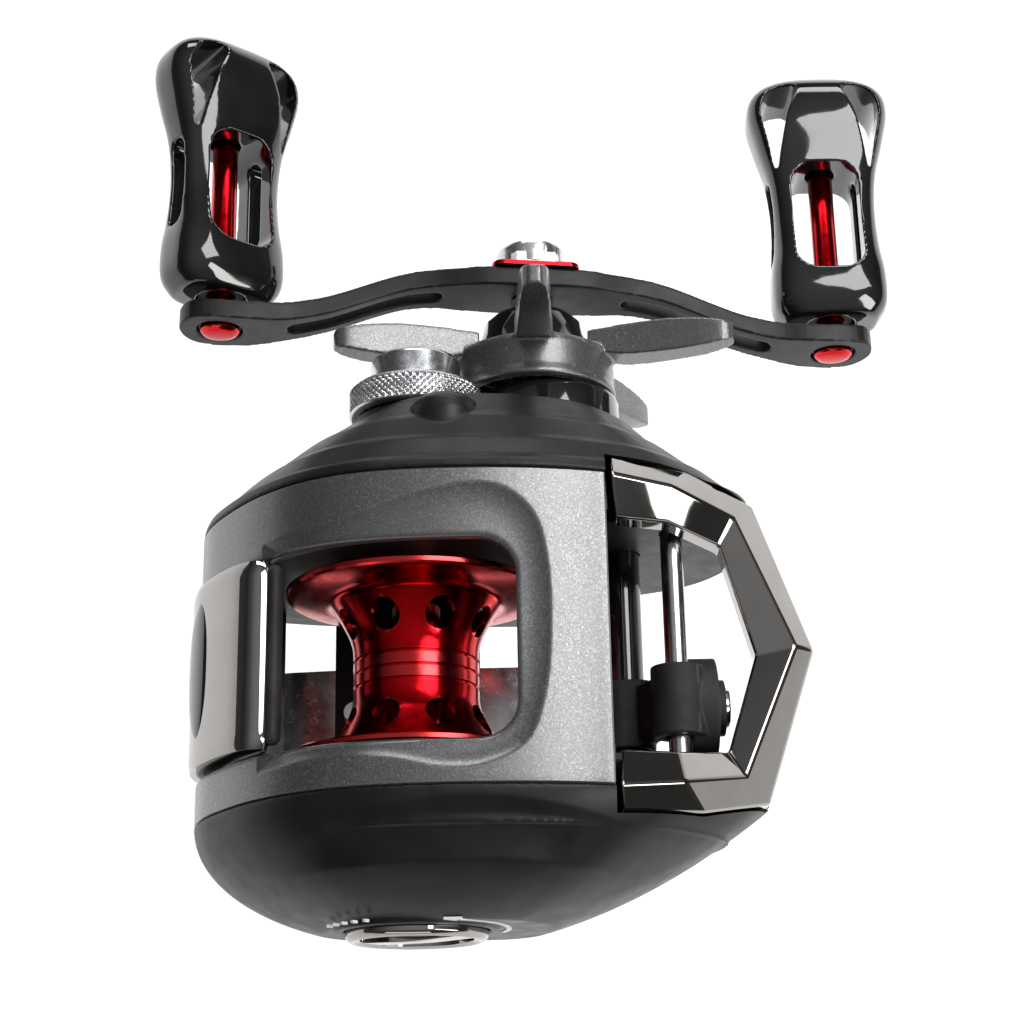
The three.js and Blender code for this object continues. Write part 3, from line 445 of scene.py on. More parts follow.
def satin_plastic(name, dark, light, rough, grain, height, wear=(0.04, 0.04, 0.042)):
    look = Look(name, 0.0)
    look.shader.inputs["Specular IOR Level"].default_value = 0.25
    tone = look.ramp(look.noise(6), [(0.35, dark), (0.65, light)])
    look.colour(look.worn(tone, wear))
    look.roughness(look.noise(2.5), rough[0], rough[1])
    look.bump(look.noise(grain, 4), height)
    return look.material


def gloss_plastic():
    look = Look("gloss_black_plastic", 0.0, coat=0.6, coat_roughness=0.03)
    look.colour(look.ramp(look.noise(8), [(0.35, (0.004, 0.004, 0.0045)), (0.65, (0.009, 0.009, 0.01))]))
    look.roughness(look.noise(3, 6), 0.05, 0.12)
    look.bump(look.noise(2.2, 2), 0.01, 0.08)
    return look.material


def bright_metal(name, dark, light, rough, lines=None, strength=0.12, wear=None):
    """Metal with faint tool marks: lines gives how the marks are stretched along X, Y and Z."""
    look = Look(name, 1.0)
    tone = look.ramp(look.noise(4), [(0.3, dark), (0.7, light)])
    look.colour(look.worn(tone, wear) if wear else tone)
    look.roughness(look.noise(1.2, 5), rough[0], rough[1])
    look.bump(look.noise(1, 2, lines) if lines else look.noise(1.5, 2), 0.006, strength)
    return look.material


def woven_carbon():
    look = Look("woven_carbon", 0.0, coat=0.3, coat_roughness=0.2)
    check = look.node("TexChecker", Scale=1 / (0.8 * MM))
    look.links.new(look.coords, check.inputs["Vector"])
    look.colour(look.ramp(check.outputs["Fac"], [(0.4, (0.012, 0.012, 0.013)), (0.6, (0.05, 0.05, 0.052))]))
    look.roughness(look.noise(0.3), 0.45, 0.65)
    look.bump(check.outputs["Fac"], 0.04)
    return look.material


# After the name come the dark and light tones, the roughness, the size and depth of the grain
# (for metals the stretch and strength of the tool marks) and the tone of worn edges.
MATERIAL = {
    "gunmetal_flake": flake_paint(),
    "satin_black": satin_plastic("satin_black_plastic", (0.005, 0.005, 0.006), (0.009, 0.009, 0.01),
        (0.34, 0.44), 0.16, 0.012, (0.012, 0.012, 0.013)),
    "gloss_black": gloss_plastic(),
    "texture_black": satin_plastic("textured_black_plastic", (0.01, 0.01, 0.01), (0.02, 0.02, 0.02),
        (0.5, 0.66), 0.3, 0.05),
    "dark_chrome": bright_metal("smoked_chrome", (0.31, 0.297, 0.285), (0.335, 0.322, 0.31),
        (0.03, 0.045), None, 0.02, (0.42, 0.41, 0.4)),
    "red_anodised": bright_metal("red_anodised", (0.42, 0.002, 0.006), (0.62, 0.006, 0.01),
        (0.14, 0.24), (0.3, 14, 0.3), 0.1, (0.8, 0.1, 0.1)),
    "silver_aluminium": bright_metal("machined_aluminium", (0.55, 0.56, 0.58), (0.7, 0.71, 0.72),
        (0.18, 0.3), (0.3, 10, 0.3)),
    "steel": bright_metal("polished_steel", (0.45, 0.45, 0.46), (0.58, 0.58, 0.58),
        (0.12, 0.24), (8, 0.4, 8)),
    "brass": bright_metal("cut_brass", (0.5, 0.33, 0.1), (0.68, 0.47, 0.17), (0.2, 0.34), (0.3, 9, 0.3)),
    "carbon_fibre": woven_carbon(),
    "nylon": satin_plastic("moulded_nylon", (0.025, 0.026, 0.03), (0.045, 0.046, 0.05),
        (0.42, 0.58), 0.25, 0.02),
    "magnet_nickel": bright_metal("nickel_plate", (0.55, 0.54, 0.51), (0.66, 0.65, 0.62), (0.14, 0.26)),
    "white_print": satin_plastic("white_print", (0.6, 0.6, 0.6), (0.72, 0.72, 0.72),
        (0.4, 0.5), 0.2, 0.004, (0.7, 0.7, 0.7)),
}


# ---------- placing ----------
def place(name, mesh, node, bevel=0.0, angle=32, turn=None, look=None, stands_for=True, segments=3):
    """Puts a shape into the frame, riding on node's body. With stands_for it takes the node's place."""
    if turn:
        mesh.transform(turn)
    mesh.transform(Matrix.Scale(MM, 4) @ Matrix.Translation(SPOOL_AT))
    mesh.name = name
    mesh.materials.clear()
    mesh.materials.append(MATERIAL[look or SLOT_OF[node]])
    mesh.polygons.foreach_set("use_smooth", [True] * len(mesh.polygons))
    if not bevel:
        mesh.set_sharp_from_angle(angle=math.radians(angle))
    obj = add_object(name, mesh)
    if bevel:
        rounding = obj.modifiers.new("edges", "BEVEL")
        rounding.width = bevel * MM
        rounding.segments = segments
        rounding.limit_method = "ANGLE"
        rounding.angle_limit = math.radians(angle)
        rounding.use_clamp_overlap = True
        obj.modifiers.new("normals", "WEIGHTED_NORMAL").keep_sharp = True
    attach(obj, BODY_OF[node])
    if stands_for:
        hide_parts(node)


def fine(node, mesh, **options):
    place(node + "_fine", mesh, node, **options)


def trim(name, mesh, node, look, angle=32):
    """A piece that only the visual model has, fixed to node."""
    place(name, mesh, node, look=look, stands_for=False, angle=angle)


# ---------- covers ----------
SCOOP = smooth_loop([(-18.1, 14), (-10.5, 14.6), (-4.9, 16), (-0.5, 17.4), (3.8, 18.4), (7.4, 18.9),
    (10.2, 18.6), (12.5, 17.6), (15.2, 14.6), (16.5, 8.9), (16.7, 1.8), (15.8, -6.9), (13.6, -12.4),
    (8.6, -15), (3.6, -15.2), (-1.4, -14.1), (-8.1, -13.5), (-18.1, -13.9)], 70, closed=False)
SCOOP_DEPTH = 1.05


def inside_distance(x, y, outline):
    """How far a point lies inside a closed outline, or 0 outside it."""
    inside, nearest = False, 1e9
    for (ax, ay), (bx, by) in zip(outline, outline[1:] + outline[:1]):
        if (ay > y) != (by > y) and x < (bx - ax) * (y - ay) / (by - ay) + ax:
            inside = not inside
        dx, dy = bx - ax, by - ay
        t = max(0.0, min(1.0, ((x - ax) * dx + (y - ay) * dy) / (dx * dx + dy * dy)))
        nearest = min(nearest, math.hypot(x - ax - t * dx, y - ay - t * dy))
    return nearest if inside else 0.0


def rounded_edge(distance, r):
    return r - math.sqrt(max(0.0, r * r - (r - distance) ** 2)) if distance < r else 0.0


def window_distance(x, y):
    """How far a point lies outside the window over the spool."""
    cx = max(0.0, x - (WINDOW_FRONT - WINDOW_CORNER))
    middle, half = (WINDOW_PALM + WINDOW_GEAR) / 2, (WINDOW_GEAR - WINDOW_PALM) / 2
    cy = max(0.0, abs(y - middle) - (half - WINDOW_CORNER))
    return max(0.0, math.hypot(cx, cy) - WINDOW_CORNER)


def cover_line():
    """The body's outline from the cover's rear edge over the top to its front edge."""
    start = min(range(len(BODY)), key=lambda i: abs(BODY[i][1] - COVER_REAR_Z) + (BODY[i][0] > 0) * 100)
    turned_body = BODY[start:] + BODY[:start]
    line = [p for p in turned_body[: len(BODY) // 2 + 20] if p[0] <= COVER_FRONT_X or p[1] < 0]
    kept = []
    for x, z in line:
        if x > COVER_FRONT_X:
            break
        if z >= COVER_REAR_Z:
            kept.append((x, z))
    last = kept[-1]
    kept.append((COVER_FRONT_X, last[1] - 0.22 * (COVER_FRONT_X - last[0])))
    return resample([Vector(p) for p in kept], 250)


def top_cover():
    line = cover_line()
    columns = 130
    outer, inner = [], []
    for i, (x, z) in enumerate(line):
        ahead = Vector(line[min(i + 1, len(line) - 1)]) - Vector(line[max(i - 1, 0)])
        out = Vector((-ahead.y, ahead.x)).normalized()
        from_end = min((Vector(line[0]) - Vector((x, z))).length,
            (Vector(line[-1]) - Vector((x, z))).length)
        for j in range(columns):
            y = COVER_Y[0] + (COVER_Y[1] - COVER_Y[0]) * j / (columns - 1)
            scoop = inside_distance(x, y, SCOOP)
            depth = SCOOP_DEPTH * (1 - math.exp(-scoop / 1.5)) + rounded_edge(window_distance(x, y), 0.6)
            depth += rounded_edge(min(y - COVER_Y[0], COVER_Y[1] - y), 0.4) + rounded_edge(from_end, 0.3)
            depth = min(depth, COVER_WALL - 0.5)
            outer.append((x - out.x * depth, y, z - out.y * depth))
            inner.append((x - out.x * COVER_WALL, y, z - out.y * COVER_WALL))
    rows, total = len(line), len(outer)
    faces = []
    for i in range(rows - 1):
        for j in range(columns - 1):
            a = i * columns + j
            faces.append((a, a + 1, a + columns + 1, a + columns))
            faces.append((total + a, total + a + columns, total + a + columns + 1, total + a + 1))
    for i in range(rows - 1):
        for a, b in ((i * columns, (i + 1) * columns), ((i + 1) * columns - 1, (i + 2) * columns - 1)):
            faces.append((a, b, total + b, total + a))
    for j in range(columns - 1):
        for a in (j, (rows - 1) * columns + j):
            faces.append((a, a + 1, total + a + 1, total + a))
    span = rounded_rect((-60, WINDOW_FRONT), (WINDOW_PALM, WINDOW_GEAR), WINDOW_CORNER, 14)
    return cut(solid(outer + inner, faces), prism_z(span, (-30, 30)))


HOOD_STATIONS = (
    ((24.3, 20.6, 17.6), (24.9, 16, 14.4), (24.5, 23.4, 15.6)),
    ((32, 20, 14.2), (31.4, 16, 11.9), (34.2, 23, 10.4)),
    ((40, 18.2, 7), (38.1, 14.7, 6), (43, 20.9, 3)),
    ((47.3, 2.4, 3.2), (42.4, 1.7, 2), (49.9, 2.3, 1)),
    ((39.8, -14.6, 7), (38, -11.3, 6), (43, -17.3, 3)),
    ((31.8, -16.3, 14.2), (31.4, -12.3, 11.9), (34.2, -19.4, 10.4)),
    ((24.2, -17.1, 17.6), (24.7, -12.4, 14.4), (24.5, -20, 15.6)),
)
HOOD_DEPTH = 3.7


def hood(grow=0.0, headroom=0.0):
    """The chrome nose guard, or with grow and headroom the room that other pieces leave for it."""
    stations = []
    for i, (ridge, inner, outer) in enumerate(HOOD_STATIONS):
        back = Vector((-3 * grow if i in (0, len(HOOD_STATIONS) - 1) else 0, 0, 0))

        def away(point, distance):
            out = Vector((point[0] - 36, point[1] - 1.75, 0)).normalized()
            return Vector(point) + out * distance + back
        inside, outside, top = away(inner, -grow), away(outer, grow), Vector(ridge) + back
        lift, sink = Vector((0, 0, headroom)), Vector((0, 0, HOOD_DEPTH + grow))
        corners = (top + lift, inside + lift, inside - sink, outside - sink, outside + lift)
        stations.append([tuple(corner) for corner in corners])
    return cut(loft(stations), box((10, 24 - grow), (-40, 40), (-30, 30)))


# ---------- side plates ----------
def plate_ring(y, rear, front, height, outline, centre):
    """The outline at y, scaled about a centre: rear behind it, front ahead of it, height up and down."""
    cx, cz = centre
    return [(cx + (x - cx) * (rear if x < cx else front), y, cz + (z - cz) * height) for x, z in outline]


def gear_plate():
    # Tiers: each pair of levels is one step of the side plate.
    levels = ((20.9, 1, 1, 1), (22.3, 0.99, 0.985, 0.985), (22.7, 0.965, 0.955, 0.955),
        (25.6, 0.875, 0.855, 0.9), (26.2, 0.84, 0.82, 0.88), (29.4, 0.715, 0.705, 0.8),
        (30.2, 0.67, 0.665, 0.765), (33.3, 0.52, 0.58, 0.66), (33.9, 0.49, 0.56, 0.64))
    inner_levels = ((19.9, 1, 1, 1), (21.64, 0.985, 0.97, 0.97), (25.64, 0.84, 0.82, 0.88),
        (29.64, 0.66, 0.66, 0.76), (32.3, 0.49, 0.56, 0.64))
    centre = (8, -5)
    cone = [(0, 20.95), (17.2, 20.95), (17.2, 26.4), (15, 29.6), (11, 34.1), (0, 34.1)]
    dome = [(0, 24), (4.4, 24), (4.4, 30.6), (4.1, 31.9), (3.2, 32.8), (1.8, 33.2), (0, 33.3)]
    outer = join(loft([plate_ring(*level, BODY, centre) for level in levels]), turned(cone, DRIVE),
        drum(9.2, (30, 38.9), BOSS), drum(8, (30, 34.1)), turned(dome, (4.2, 11.5)), drum(5.2, (30, 37.6)))
    inner_cone = [(0, 19.05), (15.6, 19.05), (15.6, 25.8), (13.2, 29), (10.6, 32.4), (0, 32.4)]
    lining = inset(BODY, SHELL)
    inner = join(loft([plate_ring(*level, lining, centre) for level in inner_levels]),
        turned(inner_cone, DRIVE))
    tools = [inner, drum(6.9, (30, 37.4), DRIVE), drum(5.6, (30, 45), DRIVE), drum(3, (30, 45))]
    tools += [drum(1.4, (20, 30), at) for at in PLATE_SCREWS]
    tools += [drum(2.5, (23.4, 40), at) for at in PLATE_SCREWS]
    return cut(moulded(cut(outer, *tools), 0.24, 3), hood(GAP, 6))


PALM_DEPTH = 15.7


def palm_scoop(x, depth):
    """The depth of a shallow lens let into the upper flank."""
    across = (depth - 4.6 - 0.006 * (x - 6) ** 2) / 3.4
    along = (x - 7) / 24
    inside = 1 - along**2 - across**2
    return 0.85 * inside if inside > 0 else 0.0


def palm_ring(depth, outline, shift=0.0, scooped=False):
    share = depth / PALM_DEPTH
    rear = math.sqrt(1 - share**2)
    height = rear**0.85
    points = plate_ring(COVER_Y[0] - depth + shift, rear, math.sqrt(1 - share), height, outline, (2.5, -2))
    if not scooped:
        return points
    return [(x, y, z - palm_scoop(x, depth) if z > 2 else z) for x, y, z in points]


def palm_plate():
    depths = [13.8 * i / 64 for i in range(65)]
    shell = loft([palm_ring(d, BODY, scooped=True) for d in depths])
    lining = inset(BODY, SHELL)
    hollow = loft([palm_ring(d, lining, 1.0 if d == 0 else SHELL * 0.5) for d in (0, 4, 8, 11.4)])
    bulkhead = prism_y([(x, z) for x, _, z in palm_ring(3.4, inset(BODY, 0.6))], (-21.4, -20))
    whole = join(cut(join(shell, drum(10.1, (-31.4, -24))), hollow), bulkhead, drum(6.6, (-24.6, -20.4)))
    legs = [polar(CARRIER_LEG_R, a) for a in CARRIER_LEGS]
    whole = cut(whole, drum(8.85, (-40, -30.2)), drum(2.4, (-40, -29)), drum(5.15, (-24, -10)),
                drum(2.2, (-30, -10)), *[drum(1.35, (-24, -10), at) for at in legs])
    return cut(moulded(whole, 0.24, 2), hood(GAP, 6), drum(8.85, (-40, -30)), drum(2.4, (-40, -20)))


fine("top_cover", top_cover(), angle=38)
fine("nose_guard", hood(), bevel=0.4, angle=14, segments=4)
fine("gear_side_plate", gear_plate(), angle=60)
fine("palm_side_plate", palm_plate(), angle=60)


# ---------- spool ----------
def spool_body():
    arbor = smooth_loop([(10.7, 9.1), (9.5, 7.2), (8.4, 5), (7.95, 3.4), (7.9, 2.2)], 16, closed=False)
    half = [(3, 9), (3, 1.3), (6.7, 1.3), (6.7, 3.4), (9.4, 8.9), (9.4, 10), (10.5, 10.4), (13.6, 10.9),
        (15, 11.2), (16.2, 11.2), (16.5, 10.95), (16.5, 10.45), (16.25, 10.2), (15.6, 10.05), (12.4, 9.6),
        (11.6, 9.55), (11.1, 9.35), *arbor, (7.9, 1.95), (7.62, 1.85), (7.62, 1.6), (7.9, 1.5),
        (7.9, 0.2), (7.62, 0.12)]
    mirror = [(r, -y) for r, y in reversed(half)]
    profile = [(1.65, -9), (1.65, 9), *half, *mirror, (1.65, -9)]
    drills = []
    for angle in [(i + 0.5) * 360 / SPOOL_HOLES for i in range(SPOOL_HOLES)]:
        for y in (-6.2, 6.2):
            hole = drum_x(1.9, (6, 18), (0, 0), 40)
            hole.transform(Matrix.Rotation(math.radians(-angle), 4, "Y"))
            hole.transform(Matrix.Translation((0, y, 0)))
            drills.append(hole)
    return cut(turned(profile, segments=144), *drills)


fine("spool", spool_body(), angle=30)
shaft = turned([(0, -23.6), (1.3, -23.6), (1.5, -23.4), (1.5, 15.1), (1.3, 15.3), (1, 15.3), (1, 35.4),
    (0, 35.9)])
fine("spool_shaft", join(shaft, box((-2.4, 2.4), (16, 16.9), (-0.5, 0.5))), bevel=0.06)
fine("brake_inductor", ring(10.4, 11.8, (-14.4, -11.3)), bevel=0.05)


# ---------- tension knob, dial and nut ----------
def knurl(r, y, angle):
    """Two crossed families of ridges make diamonds."""
    if r < 8.6 or not 34.9 < y < 38.0:
        return r
    ridge = lambda t: abs((t % 1.0) - 0.5) * 2
    turns = 60 * angle / (2 * math.pi)
    return r - 0.34 * max(ridge(turns + y * 1.15), ridge(turns - y * 1.15)) ** 1.5


def tension_knob():
    band = [(8.77, 34.9 + 3.1 * i / 44) for i in range(45)]
    profile = [(5.5, 34.4), (8.3, 34.4), (8.7, 34.75), *band, (8.7, 38.15), (8.3, 38.5), (6.6, 38.7),
        (6.15, 39), (5.9, 39.5), (5.9, 42.2), (5.7, 42.7), (5.2, 43), (2.2, 43), (2, 42.75), (0, 42.75)]
    return turned([(0, 38.6), (5.5, 38.6), *profile], segments=720, radius=knurl)


def brake_dial():
    disc = turned([(0, -30.2), (8.4, -30.2), (8.6, -30.4), (8.6, -32), (8.3, -32.4), (7.9, -32.6),
        (7.5, -32.5), (7.3, -32.3), (7.1, -32.35), (0, -32.6)])
    start = math.degrees(math.asin(1.6 / 6.9))
    scoops = []
    for side in (0, 180):
        arc = [polar(6.9, side + start + (180 - 2 * start) * i / 30) for i in range(31)]
        scoops.append(prism_y(arc, (-34, -31.4)))
    return join(cut(disc, *scoops), drum(2.1, (-30.7, -26.6)))


DIAL_TURN = Matrix.Rotation(math.radians(-28), 4, "Y")
fine("tension_knob", tension_knob(), angle=50)
fine("brake_dial", brake_dial(), bevel=0.22, turn=DIAL_TURN)


def dial_print():
    """Raised paint round the dial: a sweep that ends in an arrow, and plain ticks."""
    level = (-31.12, -30.8)
    arc = [polar(11.4, 62 - 84 * i / 40) for i in range(41)]
    back = [polar(10.95 - 0.25 * i / 40, 62 - 84 * i / 40) for i in range(41)]
    head = [polar(11.9, 61), polar(10.3, 61), polar(11.1, 71)]
    shapes = [prism_y(arc + back[::-1], level), prism_y(head, level)]
    for angle in range(118, 155, 9):
        tick = [polar(11.5, angle), polar(11.5, angle + 2), polar(10.7, angle + 2), polar(10.7, angle)]
        shapes.append(prism_y(tick, level))
    bm = bmesh.new()
    for mesh in shapes:
        bm.from_mesh(mesh)
    mesh = bpy.data.meshes.new("print")
    bm.to_mesh(mesh)
    bm.free()
    return mesh


trim("dial_print", dial_print(), "palm_side_plate", "white_print")


# ---------- star drag ----------
STAR_HALF = [(8.4, 2.6), (14, 2.25), (20, 2.05), (25, 1.8), (27, 1.4), (27.8, 0.7)]
STAR_TOP = [(0, 48), (9, 48.2), (14, 48.5), (20, 48.4), (25, 47.7), (28.8, 46.8)]
STAR_UNDER = [(28.8, 44.8), (24, 44), (13, 44.2), (9, 45.2), (0, 45.2)]


def star_arm(index):
    half, top, under = [smooth_loop(line, 30, closed=False) for line in (STAR_HALF, STAR_TOP, STAR_UNDER)]
    outline = half + [(r, -w) for r, w in reversed(half)]
    fin = common(prism_y(outline, (43, 50)), prism_z(top + under, (-8, 8)))
    turn = math.radians(90 + 72 * index)
    fin.transform(Matrix.Translation((DRIVE[0], 0, DRIVE[1])) @ Matrix.Rotation(-turn, 4, "Y"))
    return fin


def star_drag():
    hub = turned([(3.2, 45.2), (9.4, 45.2), (9.4, 39.7), (10.9, 39.7), (11.1, 39.9), (11.1, 40.3),
        (10.9, 41.2), (10.9, 44.9), (10.6, 45.6), (9.9, 46), (8, 46.6), (7, 48.4), (6.4, 50.6),
        (5.2, 51.6), (3.2, 52), (3.2, 45.2)], DRIVE)
    return moulded(join(hub, *[star_arm(i) for i in range(5)]), 0.2, 4)


def star_cap():
    """The gloss cone inside the arms."""
    return turned([(3.6, 46.5), (8.3, 46.5), (7.3, 48.4), (6.75, 50.6), (5.6, 51.75), (3.6, 52),
        (3.6, 46.5)], DRIVE)


def plate_collar():
    """The gloss cap over the side plate's boss, below the star, open round the drive shaft."""
    cap = turned([(0, 34.15), (9.75, 34.15), (9.75, 38.6), (9.45, 39.3), (0, 39.3)], BOSS)
    return cut(cap, drum(9.23, (30, 38.93), BOSS), drum(5.6, (30, 45), DRIVE))


fine("star_drag", star_drag(), angle=70)
trim("star_drag_cap", star_cap(), "star_drag", "gloss_black", 40)
trim("gear_plate_collar", plate_collar(), "gear_side_plate", "gloss_black", 40)
fine("drag_nut", cut(drum(5.4, (40.6, 44.6), DRIVE, 6), drum(3.1, (30, 50), DRIVE)), bevel=0.2)


# ---------- handle ----------
def handle_arm():
    half = [(0, 0), (9, 0), (17, -0.7), (29, -4.9), (36.5, -ARM_DROP), (49, -ARM_DROP)]
    line = smooth_loop([(-x, d) for x, d in reversed(half[1:])] + half, 120, closed=False)
    bow = [(x, ARM_Y[1] + d) for x, d in line] + [(x, ARM_Y[0] + d) for x, d in reversed(line)]
    quarter = [(0, 5), (7, 4.8), (14, 3.6), (26, 3.3), (34, 3.7), (38.4, 4.6)]
    end = [polar(5.4, a, (KNOB_REACH, 0)) for a in (55, 28, 0, -28, -55)]
    right = quarter[1:] + end + [(x, -z) for x, z in reversed(quarter[1:])]
    plan = smooth_loop([(0, 5), *right, (0, -5), *[(-x, z) for x, z in reversed(right)]], 200)
    tools = [drum(2.75, (30, 70))]
    low = ARM_Y[0] - ARM_DROP
    for side in (1, -1):
        xs = sorted((12.5 * side, 33.5 * side))
        tools.append(prism_y(rounded_rect(xs, (-1.5, 1.5), 1.4), (30, 70)))
        tools.append(drum(2, (30, 70), (side * KNOB_REACH, 0)))
        tools.append(drum(3.1, (30, low + 0.8), (side * KNOB_REACH, 0)))
    return moulded(cut(common(prism_z(bow, (-8, 8)), prism_y(plan, (30, 70))), *tools), 0.2, 3)


def handle_nut():
    flats = drum(5.3, (58.6, 60.2), (0, 0), 6)
    cap = turned([(0, 59), (4.8, 59), (4.8, 61.4), (4.6, 61.95), (4.1, 62.3), (3, 62.45), (0, 62.5)])
    return cut(join(flats, cap), drum(2.75, (50, 61)))


KNOB_BASE, KNOB_LENGTH, KNOB_TOP = 53, 38.3, 91.3
KNOB_SQUARENESS = 0.62
KNOB_OUTLINE = [(6.4, 53), (7.8, 55), (8.1, 59.5), (7.6, 64), (7.4, 70), (7.9, 75.5), (9.3, 81),
    (10.2, 85.6), (9.6, 88.8), (7.4, 90.6), (3.6, 91.3)]
KNOB_SIDE = [(4.6, 53), (5.9, 56), (5.9, 60), (4.7, 68), (5, 76), (6.1, 84), (5.4, 89), (3.6, 91.3)]
UPPER_WINDOW = [(3.4, 88.6), (7, 88.2), (8.4, 85.6), (7.6, 80.4), (6.6, 75.8), (5.9, 79.2), (4.8, 84.2)]


def knob_half(half, y):
    """Half the knob's width or thickness at y."""
    for (w0, y0), (w1, y1) in zip(half, half[1:]):
        if y <= y1:
            return w0 + (w1 - w0) * (y - y0) / (y1 - y0)
    return half[-1][0]


def squarish(wave):
    return math.copysign(abs(wave) ** KNOB_SQUARENESS, wave)


def knob():
    width, side = [smooth_loop(half, 160, closed=False) for half in (KNOB_OUTLINE, KNOB_SIDE)]
    rings = []
    for i in range(91):
        y = KNOB_BASE + KNOB_LENGTH * i / 90
        crown = rounded_edge(KNOB_TOP - y, 5) * 0.55
        w, t = knob_half(width, y) - crown, knob_half(side, y) - 0.5 * crown
        turns = [2 * math.pi * k / 72 for k in range(72)]
        rings.append([(w * squarish(math.cos(a)), y, t * squarish(math.sin(a))) for a in turns])
    body = moulded(loft(rings), 0.3, 12)
    lower = rounded_rect((-4.8, 4.8), (59.6, 76.4), 3.2)
    upper = smooth_loop(UPPER_WINDOW, 50)
    tools = [prism_z(outline, (-10, 10)) for outline in (lower, upper, [(-w, y) for w, y in upper])]
    tools.append(prism_x(rounded_rect((62, 75), (-1.5, 1.5), 1.4), (-12, 12)))
    return moulded(cut(body, *tools, drum(2.05, (50, 84)), drum(3.35, (50, 57.6))), 0.2, 8)


fine("handle_arm", handle_arm(), angle=60, turn=HANDLE)
fine("nut_retainer", cut(prism_y(rounded_rect((-6, 6), (-5.6, 5.6), 1.6), (57.8, 58.4)),
    drum(2.8, (50, 70))), bevel=0.12, turn=HANDLE)
fine("handle_nut", handle_nut(), bevel=0.2, turn=HANDLE)
for letter, side in (("a", 1), ("b", -1)):
    at = HANDLE @ Matrix.Translation((side * KNOB_REACH, 0, 0)) @ Matrix.Rotation(
        KNOB_TURN[letter] - HANDLE_TILT, 4, "Y")
    fine("knob_" + letter, knob(), angle=70, turn=at)
    fine("knob_post_" + letter, turned([(0, 47.9), (1.5, 47.95), (2.3, 48.15), (2.6, 48.5), (2.6, 49.1),
        (2.5, 49.2), (1.75, 49.2), (1.75, 82.2), (1.5, 82.5), (1.5, 82.9), (1.75, 83.1), (1.75, 83.4),
        (1.6, 83.6), (0, 83.6)]), angle=40, turn=at)
    fine("knob_bush_" + letter, ring(1.95, 3.15, (53.6, 57.3)), angle=30, turn=at)


# ---------- thumb bar ----------
def thumb_bar():
    section = smooth_loop([(-28.2, -9.6), (-28.9, -4), (-27.6, 1.2), (-24.6, 6.8), (-21, 11.4),
        (-18.6, 12.9), (-16.9, 12.3), (-17.2, 10.2), (-20.4, 6), (-23.8, 0.6), (-25.2, -4),
        (-25.6, -9.6)], 110)
    middle = (-23.0, 1.6)
    stations = []
    for k in range(25):
        y = THUMB_Y[0] + (THUMB_Y[1] - THUMB_Y[0]) * k / 24
        edge = min(y - THUMB_Y[0], THUMB_Y[1] - y)
        size = 1 - 0.05 * rounded_edge(edge, 1.4) / 1.4
        stations.append([(middle[0] + (x - middle[0]) * size, y, middle[1] + (z - middle[1]) * size)
            for x, z in section])
    tabs = box((-21.4, -19.4), (11, 16.4), (-4, 0)), box((-25.6, -19.4), (9, 12), (-4, 0))
    return join(loft(stations), *tabs)


def thumb_pad():
    """The dark oval let into the bar's outer face, leaning with that face."""
    middle, along_face, proud = Vector((-26.9, 2.4)), Vector((0.47, 0.88)), Vector((-0.88, 0.47))
    rings = []
    for k in range(33):
        share = -1 + 2 * k / 32
        size = max(0.02, 1 - abs(share) ** 2.6) ** 0.5
        ring_points = []
        for a in range(0, 360, 6):
            point = middle + along_face * 3.1 * size * math.cos(math.radians(a))
            point += proud * 0.75 * size * math.sin(math.radians(a))
            ring_points.append((point.x, 0.9 + 8.8 * share, point.y))
        rings.append(ring_points)
    return loft(rings)


def thumb_strip():
    """The soft grip along the bar's front edge."""
    y0, y1 = THUMB_Y[0] + 0.6, THUMB_Y[1] - 0.6
    rings = []
    for k in range(41):
        y = y0 + (y1 - y0) * k / 40
        size = 1 - rounded_edge(min(y - y0, y1 - y), 0.8) * 0.6
        rings.append([(-16.5 + 1.05 * size * math.cos(math.radians(a)), y,
            11.8 + 1.25 * size * math.sin(math.radians(a))) for a in range(0, 360, 10)])
    return loft(rings)


fine("thumb_bar", thumb_bar(), bevel=0.3, angle=40)
trim("thumb_bar_pad", thumb_pad(), "thumb_bar", "gloss_black")
trim("thumb_bar_strip", thumb_strip(), "thumb_bar", "texture_black", 50)


# ---------- line guide and level wind ----------
PAWL_AT = (WORM[0], (GUIDE_Y[0] + GUIDE_Y[1]) / 2)


def line_guide():
    y0, y1 = GUIDE_Y
    blocks = join(
        drum(3.3, GUIDE_Y, GUIDE_ROD),
        prism_y(rounded_rect((23.2, 30), (-8.6, -0.9), 2.6), GUIDE_Y),
        prism_y([(26.4, -4), (30, -4), (33, 2), (32, 6), (29.2, 3)], (y0 + 1, y1 - 1)),
        drum_x(6.2, (33.9, 37.2), EYELET), drum_x(3.5, (36.5, 38.3), EYELET))
    holes = [drum(1.65, (-20, 20), GUIDE_ROD), drum(2.55, (-20, 20), WORM), drum_x(2.2, (30, 45), EYELET),
        drum_x(2.75, (37.2, 45), EYELET), drum_z(1.25, (-20, WORM[1]), PAWL_AT)]
    return moulded(cut(blocks, *holes), 0.16, 3)


def worm_groove(r, y, angle):
    """Two opposite helices that cross, as a reversing worm has."""
    if r < 1.45 or not -10 < y < 14.4:
        return r
    turns = angle / (2 * math.pi)
    depth = 0.0
    for phase in (y / 4.6 - turns, y / 4.6 + turns):
        off = abs(phase % 1.0 - 0.5)
        depth = max(depth, 0.34 if off < 0.1 else max(0.0, 0.34 - (off - 0.1) * 12))
    return r - depth


